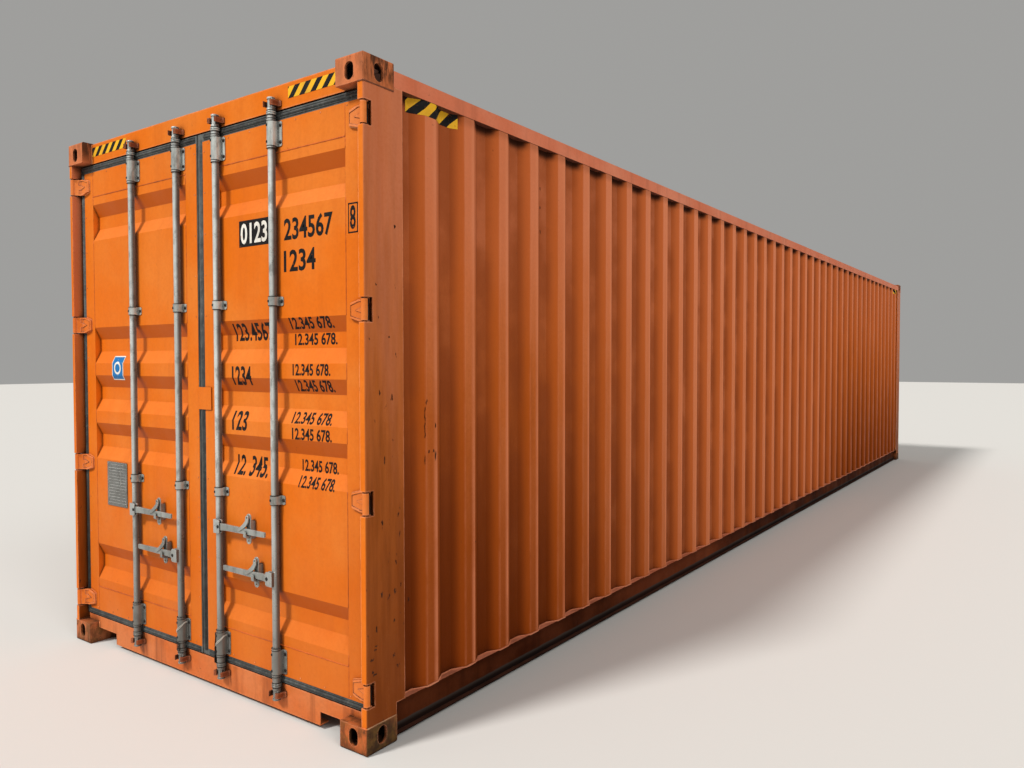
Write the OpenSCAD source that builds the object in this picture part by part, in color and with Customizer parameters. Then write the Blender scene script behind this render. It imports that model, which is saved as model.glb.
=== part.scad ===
// Forty-foot high-cube dry freight container with a two-leaf cargo door end.
// Millimetres. Origin at the middle of the footprint on the ground, X along the length with the
// door end at -X, Z up. "Left" and "right" are as seen by a person who faces the doors.

/* [Overall] */
// Outside length over the corner castings
length = 12192; // [6000:1:13700]
// Outside width over the corner castings
width = 2438; // [2200:1:2600]
// Outside height over the corner castings
height = 2896; // [2400:1:3100]

/* [Corner castings] */
// Length of a corner casting along the container
casting_l = 178; // [170:1:200]
// Width of a corner casting across the container
casting_w = 162; // [150:1:180]
// Height of a corner casting
casting_h = 118; // [110:1:130]
// Thickness of the plate that holds the twistlock aperture
casting_plate = 28.5; // [20:0.5:30]
// Thickness of the outer side walls of a casting
casting_wall = 16; // [10:1:20]
// Thickness of the inner walls of a casting
casting_back = 12; // [8:1:16]
// Length of the twistlock aperture
aperture_l = 124; // [110:1:130]
// Width of the twistlock aperture
aperture_w = 63.5; // [50:0.5:70]
// Distance of the aperture's centre from the end face
aperture_end = 103.5; // [100:0.5:108]
// Distance of the aperture's centre from the side face
aperture_side = 89.5; // [85:0.5:95]
// Height of the side and end slots
slot_h = 75; // [60:1:80]
// Width of the side and end slots
slot_w = 51; // [40:1:60]
// Rounding of a casting's outer edges
casting_r = 10; // [4:1:14]

/* [Frame] */
// How far posts and rails lie inside the casting faces
post_inset = 2; // [1:0.5:4]
// Plate thickness of the corner posts
post_t = 6; // [4:0.5:8]
// Outside bend radius of the corner posts
post_r = 10; // [7:1:12]
// Depth of a post's side plate along the container
post_depth = 231; // [200:1:260]
// Width of the door post's front lip, from the casting face
lip_w = 34; // [30:1:40]
// Depth of the channel inside a door post
channel_l = 113; // [90:1:125]
// Thickness of the channel inside a door post
channel_t = 12; // [8:1:14]
// Inner face of a door post, from the casting face
post_inner = 49; // [45:1:60]
// Length of the slant on the inner side of a front post
post_slant = 41; // [30:1:60]
// How far the end plates of the front posts reach inwards beyond the castings
front_lap = 0; // [0:1:20]
// Height of the top side rails
rail_h = 70; // [50:1:90]
// Width of the top side rails
rail_w = 60; // [45:1:70]
// Wall of the top side rails
rail_t = 3; // [2:0.5:5]
// Top of the top side rails below the casting tops
rail_drop = 31; // [22:1:45]
// Distance of the top side rails and front header from the casting faces
rail_inset = 3; // [2:0.5:6]
// Plate thickness of the bottom side rails
bottom_rail_t = 4.5; // [3:0.5:6]
// Width of a bottom rail's top flange
bottom_flange_top = 48; // [40:1:60]
// Width of a bottom rail's lower flange
bottom_flange_low = 30; // [20:1:40]
// Clearance between the ground and the bottom rails
ground_gap = 12; // [8:1:18]
// Top of the floor above the ground
floor_top = 170; // [160:1:185]

/* [Walls and roof] */
// Distance of the wall ridges from the casting side faces
wall_inset = 5; // [3:0.5:10]
// Thickness of wall, roof and door sheets
sheet_t = 2; // [1.6:0.1:3]
// Depth of the side wall corrugation
wall_depth = 36; // [25:1:45]
// Pitch of the side wall corrugation
wall_pitch = 277; // [240:1:320]
// Width of a side wall ridge
wall_ridge = 72; // [50:1:90]
// Width of a side wall slope
wall_slope = 68; // [40:1:75]
// Distance of the first ridge's middle from the post
wall_first = 184; // [140:1:200]
// Depth of the front wall corrugation
front_depth = 45.6; // [30:0.1:55]
// Pitch of the front wall corrugation
front_pitch = 250; // [220:1:300]
// Width of a front wall ridge
front_ridge = 110; // [80:1:120]
// Width of a front wall slope
front_slope = 18; // [12:1:40]
// Height of the roof corrugation
roof_depth = 20; // [12:1:24]
// Pitch of the roof corrugation
roof_pitch = 209; // [180:1:240]
// Width of a roof ridge
roof_ridge = 91; // [60:1:100]
// Width of a roof slope
roof_slope = 13.5; // [10:0.5:30]
// Flat strip between the roof corrugation and the outside of the top rail
roof_edge = 90; // [70:1:140]

/* [Header, sill and floor] */
// Recess of the door leaf, the header and the sill behind the casting end faces
recess = 56; // [50:1:66]
// Top of the door header below the casting tops
header_drop = 6; // [3:1:12]
// Depth of the door header along the container
header_depth = 110; // [80:1:140]
// Plate thickness of the headers
header_t = 4; // [3:0.5:6]
// Bottom of the door sill above the ground
sill_bottom = 20; // [14:1:30]
// Top of the door sill above the ground
sill_top = 150; // [140:1:155]
// Depth of the door sill
sill_depth = 100; // [80:1:120]
// Reach of the fold at the sill's foot
sill_foot = 50; // [30:1:60]
// Plate thickness of the sills
sill_t = 4.5; // [3:0.5:6]
// Width of the notches beside the castings
notch_w = 190; // [150:1:220]
// Top of the notches above the ground
notch_top = 82; // [60:1:95]
// Depth of the front header along the container
front_header_depth = 60; // [50:1:80]
// Height of the front header
front_header_h = 90; // [60:1:120]
// Thickness of the plywood floor
floor_t = 28; // [22:1:30]
// Height of the cross members
cross_h = 122; // [100:1:125]
// Flange width of the cross members
cross_w = 45; // [35:1:60]
// Plate thickness of the cross members
cross_t = 4; // [3:0.5:6]
// Largest pitch of the cross members
cross_pitch = 440; // [350:5:600]
// Inside width of the gooseneck tunnel
tunnel_w = 1029; // [900:1:1100]
// Length of the gooseneck tunnel from the front face
tunnel_l = 3315; // [2500:5:3600]
// Clear height of the gooseneck tunnel above the ground
tunnel_h = 120; // [100:1:124]
// Plate thickness of the gooseneck tunnel
tunnel_t = 4; // [3:0.5:6]

/* [Doors] */
// Half of the gap between the two door leaves
door_gap = 28; // [20:1:40]
// Outer edge of a door leaf from the casting side face
door_edge = 71; // [66:1:80]
// Bottom of the door leaves above the ground
door_bottom = 187; // [180:1:200]
// Top of the door leaves below the casting tops
door_drop = 165; // [150:1:180]
// Thickness of a door leaf
door_t = 50; // [40:1:60]
// Width of the upright frame tubes
stile_w = 95; // [80:1:110]
// Height of the top and bottom frame channels
door_rail_h = 141; // [110:1:170]
// Wall of the door frame members
frame_t = 3.2; // [2.5:0.1:5]
// Depth of the door panel recesses
panel_depth = 32; // [20:1:38]
// Height of the flat bottom of a recess
panel_flat = 70; // [40:1:90]
// Height of a recess slope
panel_slope = 68; // [40:1:75]
// Distance between the three middle recesses
panel_pitch = 275; // [230:1:300]
// Flat margin above the top recess and below the bottom one
panel_margin = 48; // [30:1:150]

/* [Gaskets] */
// Width of the gasket beyond the hinge side of a leaf
gasket_side = 32; // [20:1:32]
// Width of the gasket above a leaf
gasket_top = 40; // [20:1:42]
// Width of the gasket below a leaf
gasket_low = 32; // [20:1:32]
// Width of the right leaf's gasket over the centre gap
gasket_right = 42; // [30:1:44]
// Width of the left leaf's gasket over the centre gap
gasket_left = 5; // [2:1:8]
// Thickness of the gasket along the container
gasket_t = 40; // [25:1:44]

/* [Hinges] */
// Distance of the hinge axis inside both casting faces
hinge_inset = 17; // [16:0.5:20]
// Radius of the hinge barrels
barrel_r = 14; // [12:0.5:15]
// Radius of the hinge pins
pin_r = 8; // [5:0.5:9]
// Radial clearance of rods and pins in their bearings
pin_clear = 0.1; // [0.05:0.05:0.3]
// Height of a hinge at its barrel
hinge_h = 90; // [70:1:110]
// Height of a hinge blade at its tip
hinge_tip_h = 60; // [40:1:70]
// Thickness of a hinge blade
blade_t = 12; // [8:1:14]
// Reach of a hinge blade onto the leaf
blade_reach = 63; // [45:1:80]
// Height of the rims and the gusset on a hinge blade
rib_t = 3; // [2:0.5:5]
// Width of the rims on a hinge blade
rim_w = 8; // [5:1:14]
// Thickness of the hinge lugs
lug_t = 12; // [8:1:16]

/* [Lock gear] */
// Radius of the lock rods
rod_r = 17; // [13:0.5:19]
// Wall of the lock rods
rod_t = 3.2; // [2:0.1:5]
// Distance of the rod axes in front of the leaf
rod_offset = 24; // [22:0.5:27]
// Distance of the inner rods from the container's middle
rod_inner = 170; // [150:1:200]
// Distance of the outer rods from the container's middle
rod_outer = 597; // [540:1:640]
// Clearance between a rod and its bearings
rod_clear = 0.6; // [0.3:0.1:1]
// Wall of the rod brackets
bracket_t = 4; // [3:0.5:5]
// Reach of a bracket flange from the rod axis
bracket_reach = 46; // [38:1:60]
// Corner radius of the bracket flanges
bracket_r = 8; // [3:1:12]
// Height of the long top and bottom brackets
bracket_long = 112; // [90:1:150]
// Height of the middle straps
bracket_short = 41; // [30:1:60]
// Bottom of the lowest bracket above the leaf's bottom edge
bracket_low_z = 11; // [0:1:40]
// Middle of the lower strap above the ground
strap_low_z = 1004; // [900:1:1100]
// Middle of the upper strap above the ground
strap_high_z = 1914; // [1700:1:2100]
// Top of the highest bracket below the leaf's top edge
bracket_top_gap = 5; // [0:1:40]
// Radius of the rod collars
collar_r = 21; // [19:0.5:22]
// Height of a rod collar
collar_h = 9; // [6:1:12]
// Reach of a cam from the rod axis
cam_r = 21; // [18:0.5:22]
// Thickness of the cam lobe
cam_t = 19; // [14:0.5:20]
// Height of a cam
cam_h = 56; // [44:1:62]
// Radius of the cam's core
cam_core = 15; // [10:0.5:16]
// Radius of the rings over and under a cam's lobe
cam_ring_r = 19; // [15:0.5:20]
// Height of these rings
cam_ring_h = 8; // [4:1:12]
// Radius of the shank between a cam and its rod
shank_r = 19.5; // [17.5:0.5:21]
// Middle of the lower cams above the ground
cam_low_z = 106; // [96:1:112]
// Middle of the upper cams below the casting tops
cam_drop = 92; // [84:1:96]
// Clearance between a cam and its keeper
keeper_gap = 5; // [3:0.5:8]
// Height of a keeper
keeper_h = 24; // [18:1:30]
// Thickness of a keeper's ears
ear_t = 8; // [6:1:14]
// Reach of a keeper's foot beside its ear
foot_w = 10; // [8:1:30]
// Thickness of a keeper's foot
foot_t = 6; // [4:0.5:8]

/* [Handles] */
// Middle of the upper handle above the ground
handle_high_z = 838; // [780:1:900]
// Middle of the lower handle above the ground
handle_low_z = 641; // [560:1:680]
// Reach of a handle from its rod
handle_reach = 372; // [320:1:390]
// Half height of a handle at its pivot
handle_root = 17; // [12:1:20]
// Half height of a handle at its tip
handle_tip = 12; // [9:1:14]
// Thickness of the handle bar
handle_t = 9; // [7:0.5:10]
// How far the handle steps back towards the leaf beside its hub
handle_crank = 5; // [0:0.5:8]
// Distance of the handle pivot from the rod axis
pivot_out = 28; // [26:1:36]
// Radius of the handle pivot pin
pivot_r = 6; // [4:0.5:8]
// Half height of the fork that holds the handle
hub_h = 33; // [24:1:36]
// Plate thickness of the fork
fork_t = 4.5; // [3:0.5:5]
// Clearance between the handle and the fork
fork_gap = 0.5; // [0.3:0.1:1]
// Distance of the upper retainer from its rod
retainer_high = 236; // [200:1:280]
// Distance of the lower retainer from its rod
retainer_low = 135; // [110:1:180]
// Width of a handle retainer
retainer_w = 32; // [24:1:40]
// Thickness of a retainer's plate
retainer_t = 5; // [3:0.5:6]
// Gap between a handle and its retainer
retainer_gap = 5; // [3:0.5:7]
// Width of the seal arm on a handle
strap_w = 20; // [14:1:26]
// How far the tip of the seal arm reaches beside its retainer
strap_reach = 58; // [40:1:70]
// Height of the seal hole above the middle of the handle
seal_z = 64; // [50:1:70]
// Radius of the seal hole
seal_r = 5; // [3:0.5:7]
// Middle of the centre tab above the ground
tab_z = 1456; // [1300:1:1600]
// Height of the centre tab
tab_h = 112; // [80:1:140]

/* [Hidden] */
$fn = 48;

left = 1;
right = -1;
x_door = -length / 2;
x_front = length / 2;
y_face = width / 2;
big = 50;

// Levels and limits that several pieces share
rail_top = height - rail_drop;
rail_bottom = rail_top - rail_h;
header_bottom = height - casting_h;
header_top = height - header_drop;
door_top = height - door_drop;
leaf_u = recess;
leaf_back_u = recess + door_t;
post_channel_u = post_depth - channel_l;
wall_x = length / 2 - post_depth;
web_y = y_face - wall_inset - bottom_flange_top;
front_header_bottom = header_top - front_header_h;
front_wall_u = rail_inset + sheet_t;
front_side = casting_w + front_lap;

// Lock gear places: the two rods of a leaf are the left one and the right one as seen from outside
rod_u = recess - rod_offset;
rod_y = [rod_outer, rod_inner, -rod_inner, -rod_outer];
cam_high_z = height - cam_drop;
lobe_way = [1, -1, 1, -1];
handle_way = [-1, 1, -1, 1];
handle_z = [handle_high_z, handle_low_z, handle_high_z, handle_low_z];
retainer_out = [retainer_high, retainer_low, retainer_high, retainer_low];
bracket_low = [door_bottom + bracket_low_z, door_bottom + bracket_low_z + bracket_long];
bracket_high = [door_top - bracket_top_gap - bracket_long, door_top - bracket_top_gap];
bearing_r = rod_r + rod_clear;
fork_u = rod_u - rod_r - 13;
handle_u = fork_u + fork_t + fork_gap;
bar_u = handle_u + handle_crank;
retainer_u = bar_u + handle_t + retainer_gap + 1;

// Hinge levels: equal steps between the lowest and the highest hinge
hinge_low_z = door_bottom + 64;
hinge_high_z = door_top - 77;
hinge_z = [for (i = [0 : 3]) hinge_low_z + i * (hinge_high_z - hinge_low_z) / 3];

// Extrusions along the row axes of outlines drawn in the plane across them
module along_y(y0, y1) translate([0, y1, 0]) rotate([90, 0, 0]) linear_extrude(y1 - y0) children();
module along_x(x0, x1) translate([x0, 0, 0]) rotate([90, 0, 90]) linear_extrude(x1 - x0) children();
module along_z(z0, z1) translate([0, 0, z0]) linear_extrude(z1 - z0) children();
module box(x, y, z) translate([x[0], y[0], z[0]]) cube([x[1] - x[0], y[1] - y[0], z[1] - z[0]]);

// Square with a rounded corner at the origin, and one with four rounded corners about its middle
module corner_square(l, w, r) union() {
  translate([r, 0]) square([l - r, w]);
  translate([0, r]) square([l, w - r]);
  translate([r, r]) circle(r = r);
}
module round_square(l, w, r) union() {
  square([l, w - 2 * r], center = true);
  square([l - 2 * r, w], center = true);
  for (x = [-1, 1], y = [-1, 1]) translate([x * (l / 2 - r), y * (w / 2 - r)]) circle(r = r);
}

// A place given by u from the door end face and v from a side face, for the left or right side
module from_door(side) mirror([0, side == left ? 1 : 0, 0]) translate([x_door, -y_face, 0]) children();
module from_front(side) mirror([1, 0, 0]) from_door(side) children();

// One face of a folded sheet: ridges at height 0 and grooves at -depth, inset by t into the sheet
function fold_shift(depth, slope, t) = t * tan(atan(depth / slope) / 2);
function fold_face(first, n, pitch, ridge, slope, depth, t) =
  let (e = fold_shift(depth, slope, t))
  [for (i = [0 : n - 1], p = [
      [-ridge / 2 - slope + e, -depth - t], [-ridge / 2 + e, -t],
      [ridge / 2 - e, -t], [ridge / 2 + slope - e, -depth - t]
    ]) [first + i * pitch + p[0], p[1]]];
function backwards(points) = [for (i = [len(points) - 1 : -1 : 0]) points[i]];
function folded_sheet(x0, x1, first, n, pitch, ridge, slope, depth, t) = concat(
  [[x0, -depth]], fold_face(first, n, pitch, ridge, slope, depth, 0), [[x1, -depth], [x1, -depth - t]],
  backwards(fold_face(first, n, pitch, ridge, slope, depth, t)), [[x0, -depth - t]]
);

// Corner casting with its outer bottom corner at the origin
module slot_hole(l, w, h) linear_extrude(h) union() {
  square([l - w, w], center = true);
  for (s = [-1, 1]) translate([s * (l - w) / 2, 0]) circle(d = w);
}
module casting() difference() {
  intersection() {
    along_z(0, casting_h) corner_square(casting_l, casting_w, casting_r);
    along_x(0, casting_l) corner_square(casting_w, casting_h, casting_r);
    along_y(0, casting_w) corner_square(casting_l, casting_h, casting_r);
  }
  translate([casting_wall, casting_wall, casting_plate]) cube([
    casting_l - casting_wall - casting_back,
    casting_w - casting_wall - casting_back,
    casting_h - casting_plate - casting_back
  ]);
  translate([aperture_end, aperture_side, -1]) slot_hole(aperture_l, aperture_w, casting_plate + 2);
  translate([-1, casting_w / 2, casting_plate + slot_h / 2])
    rotate([0, 90, 0]) slot_hole(slot_h, slot_w, casting_wall + 2);
  translate([casting_l / 2, casting_wall + 1, casting_plate + slot_h / 2])
    rotate([90, 90, 0]) slot_hole(slot_h, slot_w, casting_wall + 2);
}
module upside_down() translate([0, 0, height]) mirror([0, 0, 1]) children();
module door_bottom_castings() color("chocolate") for (s = [left, right]) from_door(s) casting();
module door_top_castings() color("chocolate") upside_down() for (s = [left, right]) from_door(s) casting();
module front_bottom_castings() color("chocolate") for (s = [left, right]) from_front(s) casting();
module front_top_castings() color("chocolate") upside_down() for (s = [left, right]) from_front(s) casting();

// Door post: folded outer plate and channel inside it, cut out at each hinge
module door_post_outline() {
  translate([post_inset, post_inset]) difference() {
    corner_square(post_depth - post_inset, lip_w - post_inset, post_r);
    translate([post_t, post_t]) corner_square(post_depth, lip_w - post_inset - 2 * post_t, post_r - post_t);
    translate([post_channel_u - post_inset + channel_t, post_t]) square(post_depth);
  }
  difference() {
    translate([post_channel_u, post_inset + post_t])
      square([channel_l, post_inner - post_inset - post_t]);
    translate([post_channel_u + channel_t, -big])
      square([channel_l - 2 * channel_t, post_inner - channel_t + big]);
  }
}
cut_u = hinge_inset + barrel_r + 17;
cut_h = hinge_h + 12;
module door_post(side) color("peru") from_door(side) difference() {
  union() {
    along_z(casting_h, header_bottom) door_post_outline();
    along_z(header_bottom, rail_bottom) intersection() {
      door_post_outline();
      translate([casting_l, 0]) square([post_depth, post_inner]);
    }
  }
  box([casting_l, post_depth + big], [-1, post_inner + 1], [0, floor_top]);
  for (z = hinge_z) {
    box([-1, cut_u], [-1, post_inset + post_t + 1], [z - cut_h / 2, z + cut_h / 2]);
    box([-1, leaf_u + 4], [post_inset + post_t, lip_w + 1], [z - cut_h / 2, z + cut_h / 2]);
  }
}
module door_post_left() door_post(left);
module door_post_right() door_post(right);

// Hinge pins with the lugs that hold them inside the fold of the posts
module hinge_pins() color("sienna") for (s = [left, right]) from_door(s) for (z = hinge_z) {
  translate([hinge_inset, hinge_inset, z - hinge_h / 2 - 1 - lug_t])
    cylinder(r = pin_r, h = hinge_h + 2 + 2 * lug_t);
  for (z0 = [z - hinge_h / 2 - 1 - lug_t, z + hinge_h / 2 + 1])
    along_z(z0, z0 + lug_t) translate([post_inset + post_t, post_inset + post_t])
      corner_square(2 * hinge_inset - 4, lip_w - post_inset - 2 * post_t, post_r - post_t);
}

// Door header: hollow beam between the top castings
module door_header() color("darkorange") difference() {
  box([x_door + recess, x_door + recess + header_depth], [casting_w - y_face, y_face - casting_w],
    [header_bottom, header_top]);
  box([x_door + recess + header_t, x_door + recess + header_depth - header_t], [-y_face, y_face],
    [header_bottom + header_t, header_top - header_t]);
}

// Door sill: face plate with a top that steps up to the floor, notched beside the castings
sill_back_u = recess + sill_depth;
sill_outline = [
  [recess, sill_bottom], [recess, sill_top], [sill_back_u - 36, sill_top], [sill_back_u - 6, floor_top],
  [sill_back_u, floor_top], [sill_back_u, floor_top - floor_t - sill_t], [sill_back_u - sill_t, floor_top - floor_t - sill_t],
  [sill_back_u - sill_t, floor_top - sill_t - 5], [sill_back_u - 34, sill_top - sill_t],
  [recess + sill_t, sill_top - sill_t], [recess + sill_t, sill_bottom + sill_t],
  [recess + sill_foot, sill_bottom + sill_t], [recess + sill_foot, sill_bottom]
];
module door_sill() color("darkorange") difference() {
  translate([x_door, 0, 0]) union() {
    along_y(casting_w - y_face, y_face - casting_w) polygon(sill_outline);
    intersection() {
      along_y(-y_face + post_inner, y_face - post_inner) polygon(sill_outline);
      box([0, sill_back_u + 1], [-y_face, y_face], [casting_h, height]);
    }
  }
  for (s = [left, right]) from_door(s)
    box([0, recess + sill_foot + 10], [casting_w, casting_w + notch_w], [0, notch_top]);
}

// Cam keepers: two footed ears beside each cam, one of them hooked over the cam's lobe
ear_y = cam_r + keeper_gap;
hook_u = rod_u - cam_t / 2 - 4.5;
ear_out = [
  [recess, ear_y + ear_t + foot_w], [recess - foot_t, ear_y + ear_t + foot_w],
  [recess - foot_t - 3, ear_y + ear_t], [14, ear_y + ear_t - 1], [8, ear_y + ear_t - 5]
];
module keeper_ear() polygon(concat([[recess, ear_y]], ear_out, [[8, ear_y]]));
module keeper_hook() polygon(concat([[recess, ear_y]], ear_out, [
  [8, ear_y - 1], [hook_u - 8, 16], [hook_u - 5, 14], [hook_u, 14], [hook_u, ear_y - 3], [hook_u + 3, ear_y]
]));
module cam_keeper(way) along_z(-keeper_h / 2, keeper_h / 2) {
  mirror([0, way == 1 ? 0 : 1]) keeper_hook();
  mirror([0, way == 1 ? 1 : 0]) keeper_ear();
}
module cam_keepers() color("darkorange") for (i = [0 : 3], z = [cam_low_z, cam_high_z])
  translate([x_door, rod_y[i], z]) cam_keeper(lobe_way[i]);

// Front posts: closed folded section with a slanted inner face
module front_post_outline() difference() {
  intersection() {
    polygon([
      [post_inset, post_inset], [post_depth, post_inset], [post_depth, post_inner],
      [post_depth - post_slant, post_inner], [front_header_depth, front_side], [post_inset, front_side]
    ]);
    translate([post_inset, post_inset]) corner_square(post_depth, front_side, post_r);
  }
  polygon([
    [post_inset + post_t, post_inset + post_t], [post_depth - post_t, post_inset + post_t],
    [post_depth - post_t, post_inner - post_t], [post_depth - post_slant - 2, post_inner - post_t],
    [front_header_depth - 2, front_side - post_t], [post_inset + post_t, front_side - post_t]
  ]);
}
module front_post(side) color("peru") from_front(side) difference() {
  union() {
    along_z(casting_h, header_bottom) front_post_outline();
    along_z(header_bottom, rail_bottom) intersection() {
      front_post_outline();
      translate([casting_l, 0]) square([post_depth, front_side]);
    }
  }
  box([casting_l, post_depth + big], [-1, front_side + 1], [0, floor_top]);
}
module front_post_left() front_post(left);
module front_post_right() front_post(right);

// Front header and front sill
module front_header() color("peru") difference() {
  box([x_front - rail_inset - front_header_depth, x_front - rail_inset],
    [casting_w - y_face, y_face - casting_w], [front_header_bottom, header_top]);
  box([x_front - rail_inset - front_header_depth + header_t, x_front - rail_inset - header_t],
    [-y_face, y_face], [front_header_bottom + header_t, header_top - header_t]);
}
module front_sill() color("peru") difference() {
  box([x_front - casting_l, x_front - rail_inset], [casting_w - y_face, y_face - casting_w],
    [ground_gap, floor_top]);
  box([x_front - casting_l - 1, x_front - rail_inset - sill_t], [-y_face, y_face],
    [ground_gap + sill_t, floor_top - sill_t]);
  box([x_front - casting_l - 1, x_front + 1], [-tunnel_w / 2 - tunnel_t, tunnel_w / 2 + tunnel_t],
    [0, tunnel_h + tunnel_t]);
}

// Corrugated front wall between the front posts
front_wall_y = y_face - front_side;
front_n = 2 * round((front_wall_y - front_ridge / 2 - front_slope) / front_pitch) + 1;
front_step = 2 * (front_wall_y - front_ridge / 2 - front_slope - 20) / (front_n - 1);
module front_wall() color("peru") along_z(floor_top, front_header_bottom)
  translate([x_front - front_wall_u, 0]) rotate([0, 0, -90]) polygon(folded_sheet(
    -front_wall_y, front_wall_y, -front_step * (front_n - 1) / 2, front_n, front_step,
    front_ridge, front_slope, front_depth, sheet_t));

// Corrugated side walls between the posts
wall_n = round((2 * wall_x - 2 * wall_first) / wall_pitch) + 1;
wall_step = (2 * wall_x - 2 * wall_first) / (wall_n - 1);
module side_wall(side) color("chocolate") mirror([0, side == left ? 0 : 1, 0])
  along_z(floor_top, rail_bottom) translate([0, y_face - wall_inset]) polygon(folded_sheet(
    -wall_x, wall_x, wall_first - wall_x, wall_n, wall_step, wall_ridge, wall_slope, wall_depth, sheet_t));
module side_wall_left() side_wall(left);
module side_wall_right() side_wall(right);

// Top rails: square tubes between the top castings
module top_rail(side) color("chocolate") mirror([0, side == left ? 0 : 1, 0]) difference() {
  box([casting_l + x_door, x_front - casting_l], [y_face - rail_inset - rail_w, y_face - rail_inset],
    [rail_bottom, rail_top]);
  box([x_door, x_front], [y_face - rail_inset - rail_w + rail_t, y_face - rail_inset - rail_t],
    [rail_bottom + rail_t, rail_top - rail_t]);
}
module top_rail_left() top_rail(left);
module top_rail_right() top_rail(right);

// Bottom rails: channels that open outwards, with the wall standing on the wide top flange
module bottom_rail(side) color("saddlebrown") mirror([0, side == left ? 0 : 1, 0])
  along_x(casting_l + x_door, x_front - casting_l) {
    translate([web_y, floor_top - bottom_rail_t]) square([bottom_flange_top, bottom_rail_t]);
    translate([web_y, ground_gap]) square([bottom_rail_t, floor_top - ground_gap]);
    translate([web_y, ground_gap]) square([bottom_flange_low, bottom_rail_t]);
  }
module bottom_rail_left() bottom_rail(left);
module bottom_rail_right() bottom_rail(right);

// Roof sheet with pressed cross corrugations that stop short of the rails
roof_x0 = x_door + recess + header_depth;
roof_x1 = x_front - rail_inset - front_header_depth;
roof_span = roof_x1 - roof_x0;
roof_n = round((roof_span - roof_pitch) / roof_pitch) + 1;
roof_step = (roof_span - roof_pitch) / (roof_n - 1);
roof_y = y_face - rail_inset - roof_edge;
roof_run = 30;
module roof_ribs(t) intersection() {
  along_y(-y_face, y_face) polygon(concat(
    [[roof_x0, rail_top - big]],
    [for (p = fold_face(roof_x0 + roof_pitch / 2, roof_n, roof_step, roof_ridge, roof_slope, roof_depth, t))
      [p[0], p[1] + roof_depth + rail_top + sheet_t]],
    [[roof_x1, rail_top - big]]
  ));
  along_x(roof_x0, roof_x1) polygon([
    [-roof_y + t, rail_top - t], [-roof_y + roof_run + t, rail_top + sheet_t + roof_depth],
    [roof_y - roof_run - t, rail_top + sheet_t + roof_depth], [roof_y - t, rail_top - t]
  ]);
}
module roof() color("chocolate") difference() {
  union() {
    box([roof_x0, roof_x1], [-y_face + rail_inset + 8, y_face - rail_inset - 8], [rail_top, rail_top + sheet_t]);
    roof_ribs(0);
  }
  roof_ribs(sheet_t);
  box([x_door, x_front], [-y_face, y_face], [rail_top - big - 1, rail_top]);
  for (s = [left, right]) {
    from_door(s) box([0, casting_l], [0, casting_w], [rail_top - 1, height]);
    from_front(s) box([0, casting_l], [0, casting_w], [rail_top - 1, height]);
  }
}

// Floor boards between the bottom rails, from the sill to the front sill
floor_x0 = x_door + sill_back_u;
floor_x1 = x_front - casting_l;
module floor() color("burlywood") box([floor_x0, floor_x1], [-web_y, web_y], [floor_top - floor_t, floor_top]);

// Cross members under the floor, shortened beside the gooseneck tunnel
cross_top = floor_top - floor_t;
cross_bottom = cross_top - cross_h;
tunnel_x = x_front - tunnel_l;
tunnel_out = tunnel_w / 2 + tunnel_t;
cross_x0 = x_door + casting_l + 2;
full_span = tunnel_x - cross_x0 - cross_w;
full_n = ceil(full_span / cross_pitch) + 1;
short_span = floor_x1 - cross_w - tunnel_x - cross_pitch / 2;
short_n = ceil(short_span / cross_pitch) + 1;
module cross_member(y0, y1) along_y(y0, y1) {
  translate([0, cross_bottom]) square([cross_t, cross_h]);
  for (z = [cross_bottom, cross_top - cross_t]) translate([0, z]) square([cross_w, cross_t]);
}
module cross_members() color("saddlebrown") {
  for (i = [0 : full_n - 1]) translate([cross_x0 + i * full_span / (full_n - 1), 0, 0])
    cross_member(-web_y, web_y);
  for (i = [0 : short_n - 1], s = [-1, 1])
    translate([tunnel_x + cross_pitch / 2 + i * short_span / (short_n - 1), 0, 0])
      cross_member(s == 1 ? tunnel_out : -web_y, s == 1 ? web_y : -tunnel_out);
}

// Gooseneck tunnel: top plate on two side plates, with bows up to the floor
bow_n = short_n;
module gooseneck_tunnel() color("saddlebrown") {
  box([tunnel_x + cross_w, x_front - rail_inset], [-tunnel_out, tunnel_out], [tunnel_h, tunnel_h + tunnel_t]);
  for (s = [-1, 1]) box([tunnel_x + cross_w, x_front - rail_inset],
    [s == 1 ? tunnel_w / 2 : -tunnel_out, s == 1 ? tunnel_out : -tunnel_w / 2], [cross_bottom, tunnel_h]);
  for (i = [0 : bow_n - 1]) translate([tunnel_x + cross_pitch / 2 + i * short_span / (bow_n - 1), 0, 0])
    box([0, cross_w], [-tunnel_w / 2, tunnel_w / 2], [tunnel_h + tunnel_t, cross_top]);
}

// Door leaves are drawn for the left side and mirrored for the right one
leaf_x = x_door + leaf_u;
leaf_back_x = x_door + leaf_back_u;
leaf_y1 = y_face - door_edge;
panel_y0 = door_gap + stile_w;
panel_y1 = leaf_y1 - stile_w;
panel_z0 = door_bottom + door_rail_h;
panel_z1 = door_top - door_rail_h;
module as_side(side) mirror([0, side == left ? 0 : 1, 0]) children();
module frame_tube(y0, y1) difference() {
  box([leaf_x, leaf_back_x], [y0, y1], [door_bottom, door_top]);
  box([leaf_x + frame_t, leaf_back_x - frame_t], [y0 + frame_t, y1 - frame_t], [door_bottom - 1, door_top + 1]);
}
module frame_channel(z0, z1) difference() {
  box([leaf_x, leaf_back_x], [panel_y0, panel_y1], [z0, z1]);
  box([leaf_x + frame_t, leaf_back_x + 1], [panel_y0 - 1, panel_y1 + 1], [z0 + frame_t, z1 - frame_t]);
}
module door_frame() {
  frame_tube(door_gap, panel_y0);
  frame_tube(panel_y1, leaf_y1);
  frame_channel(door_bottom, panel_z0);
  frame_channel(panel_z1, door_top);
}
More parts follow.
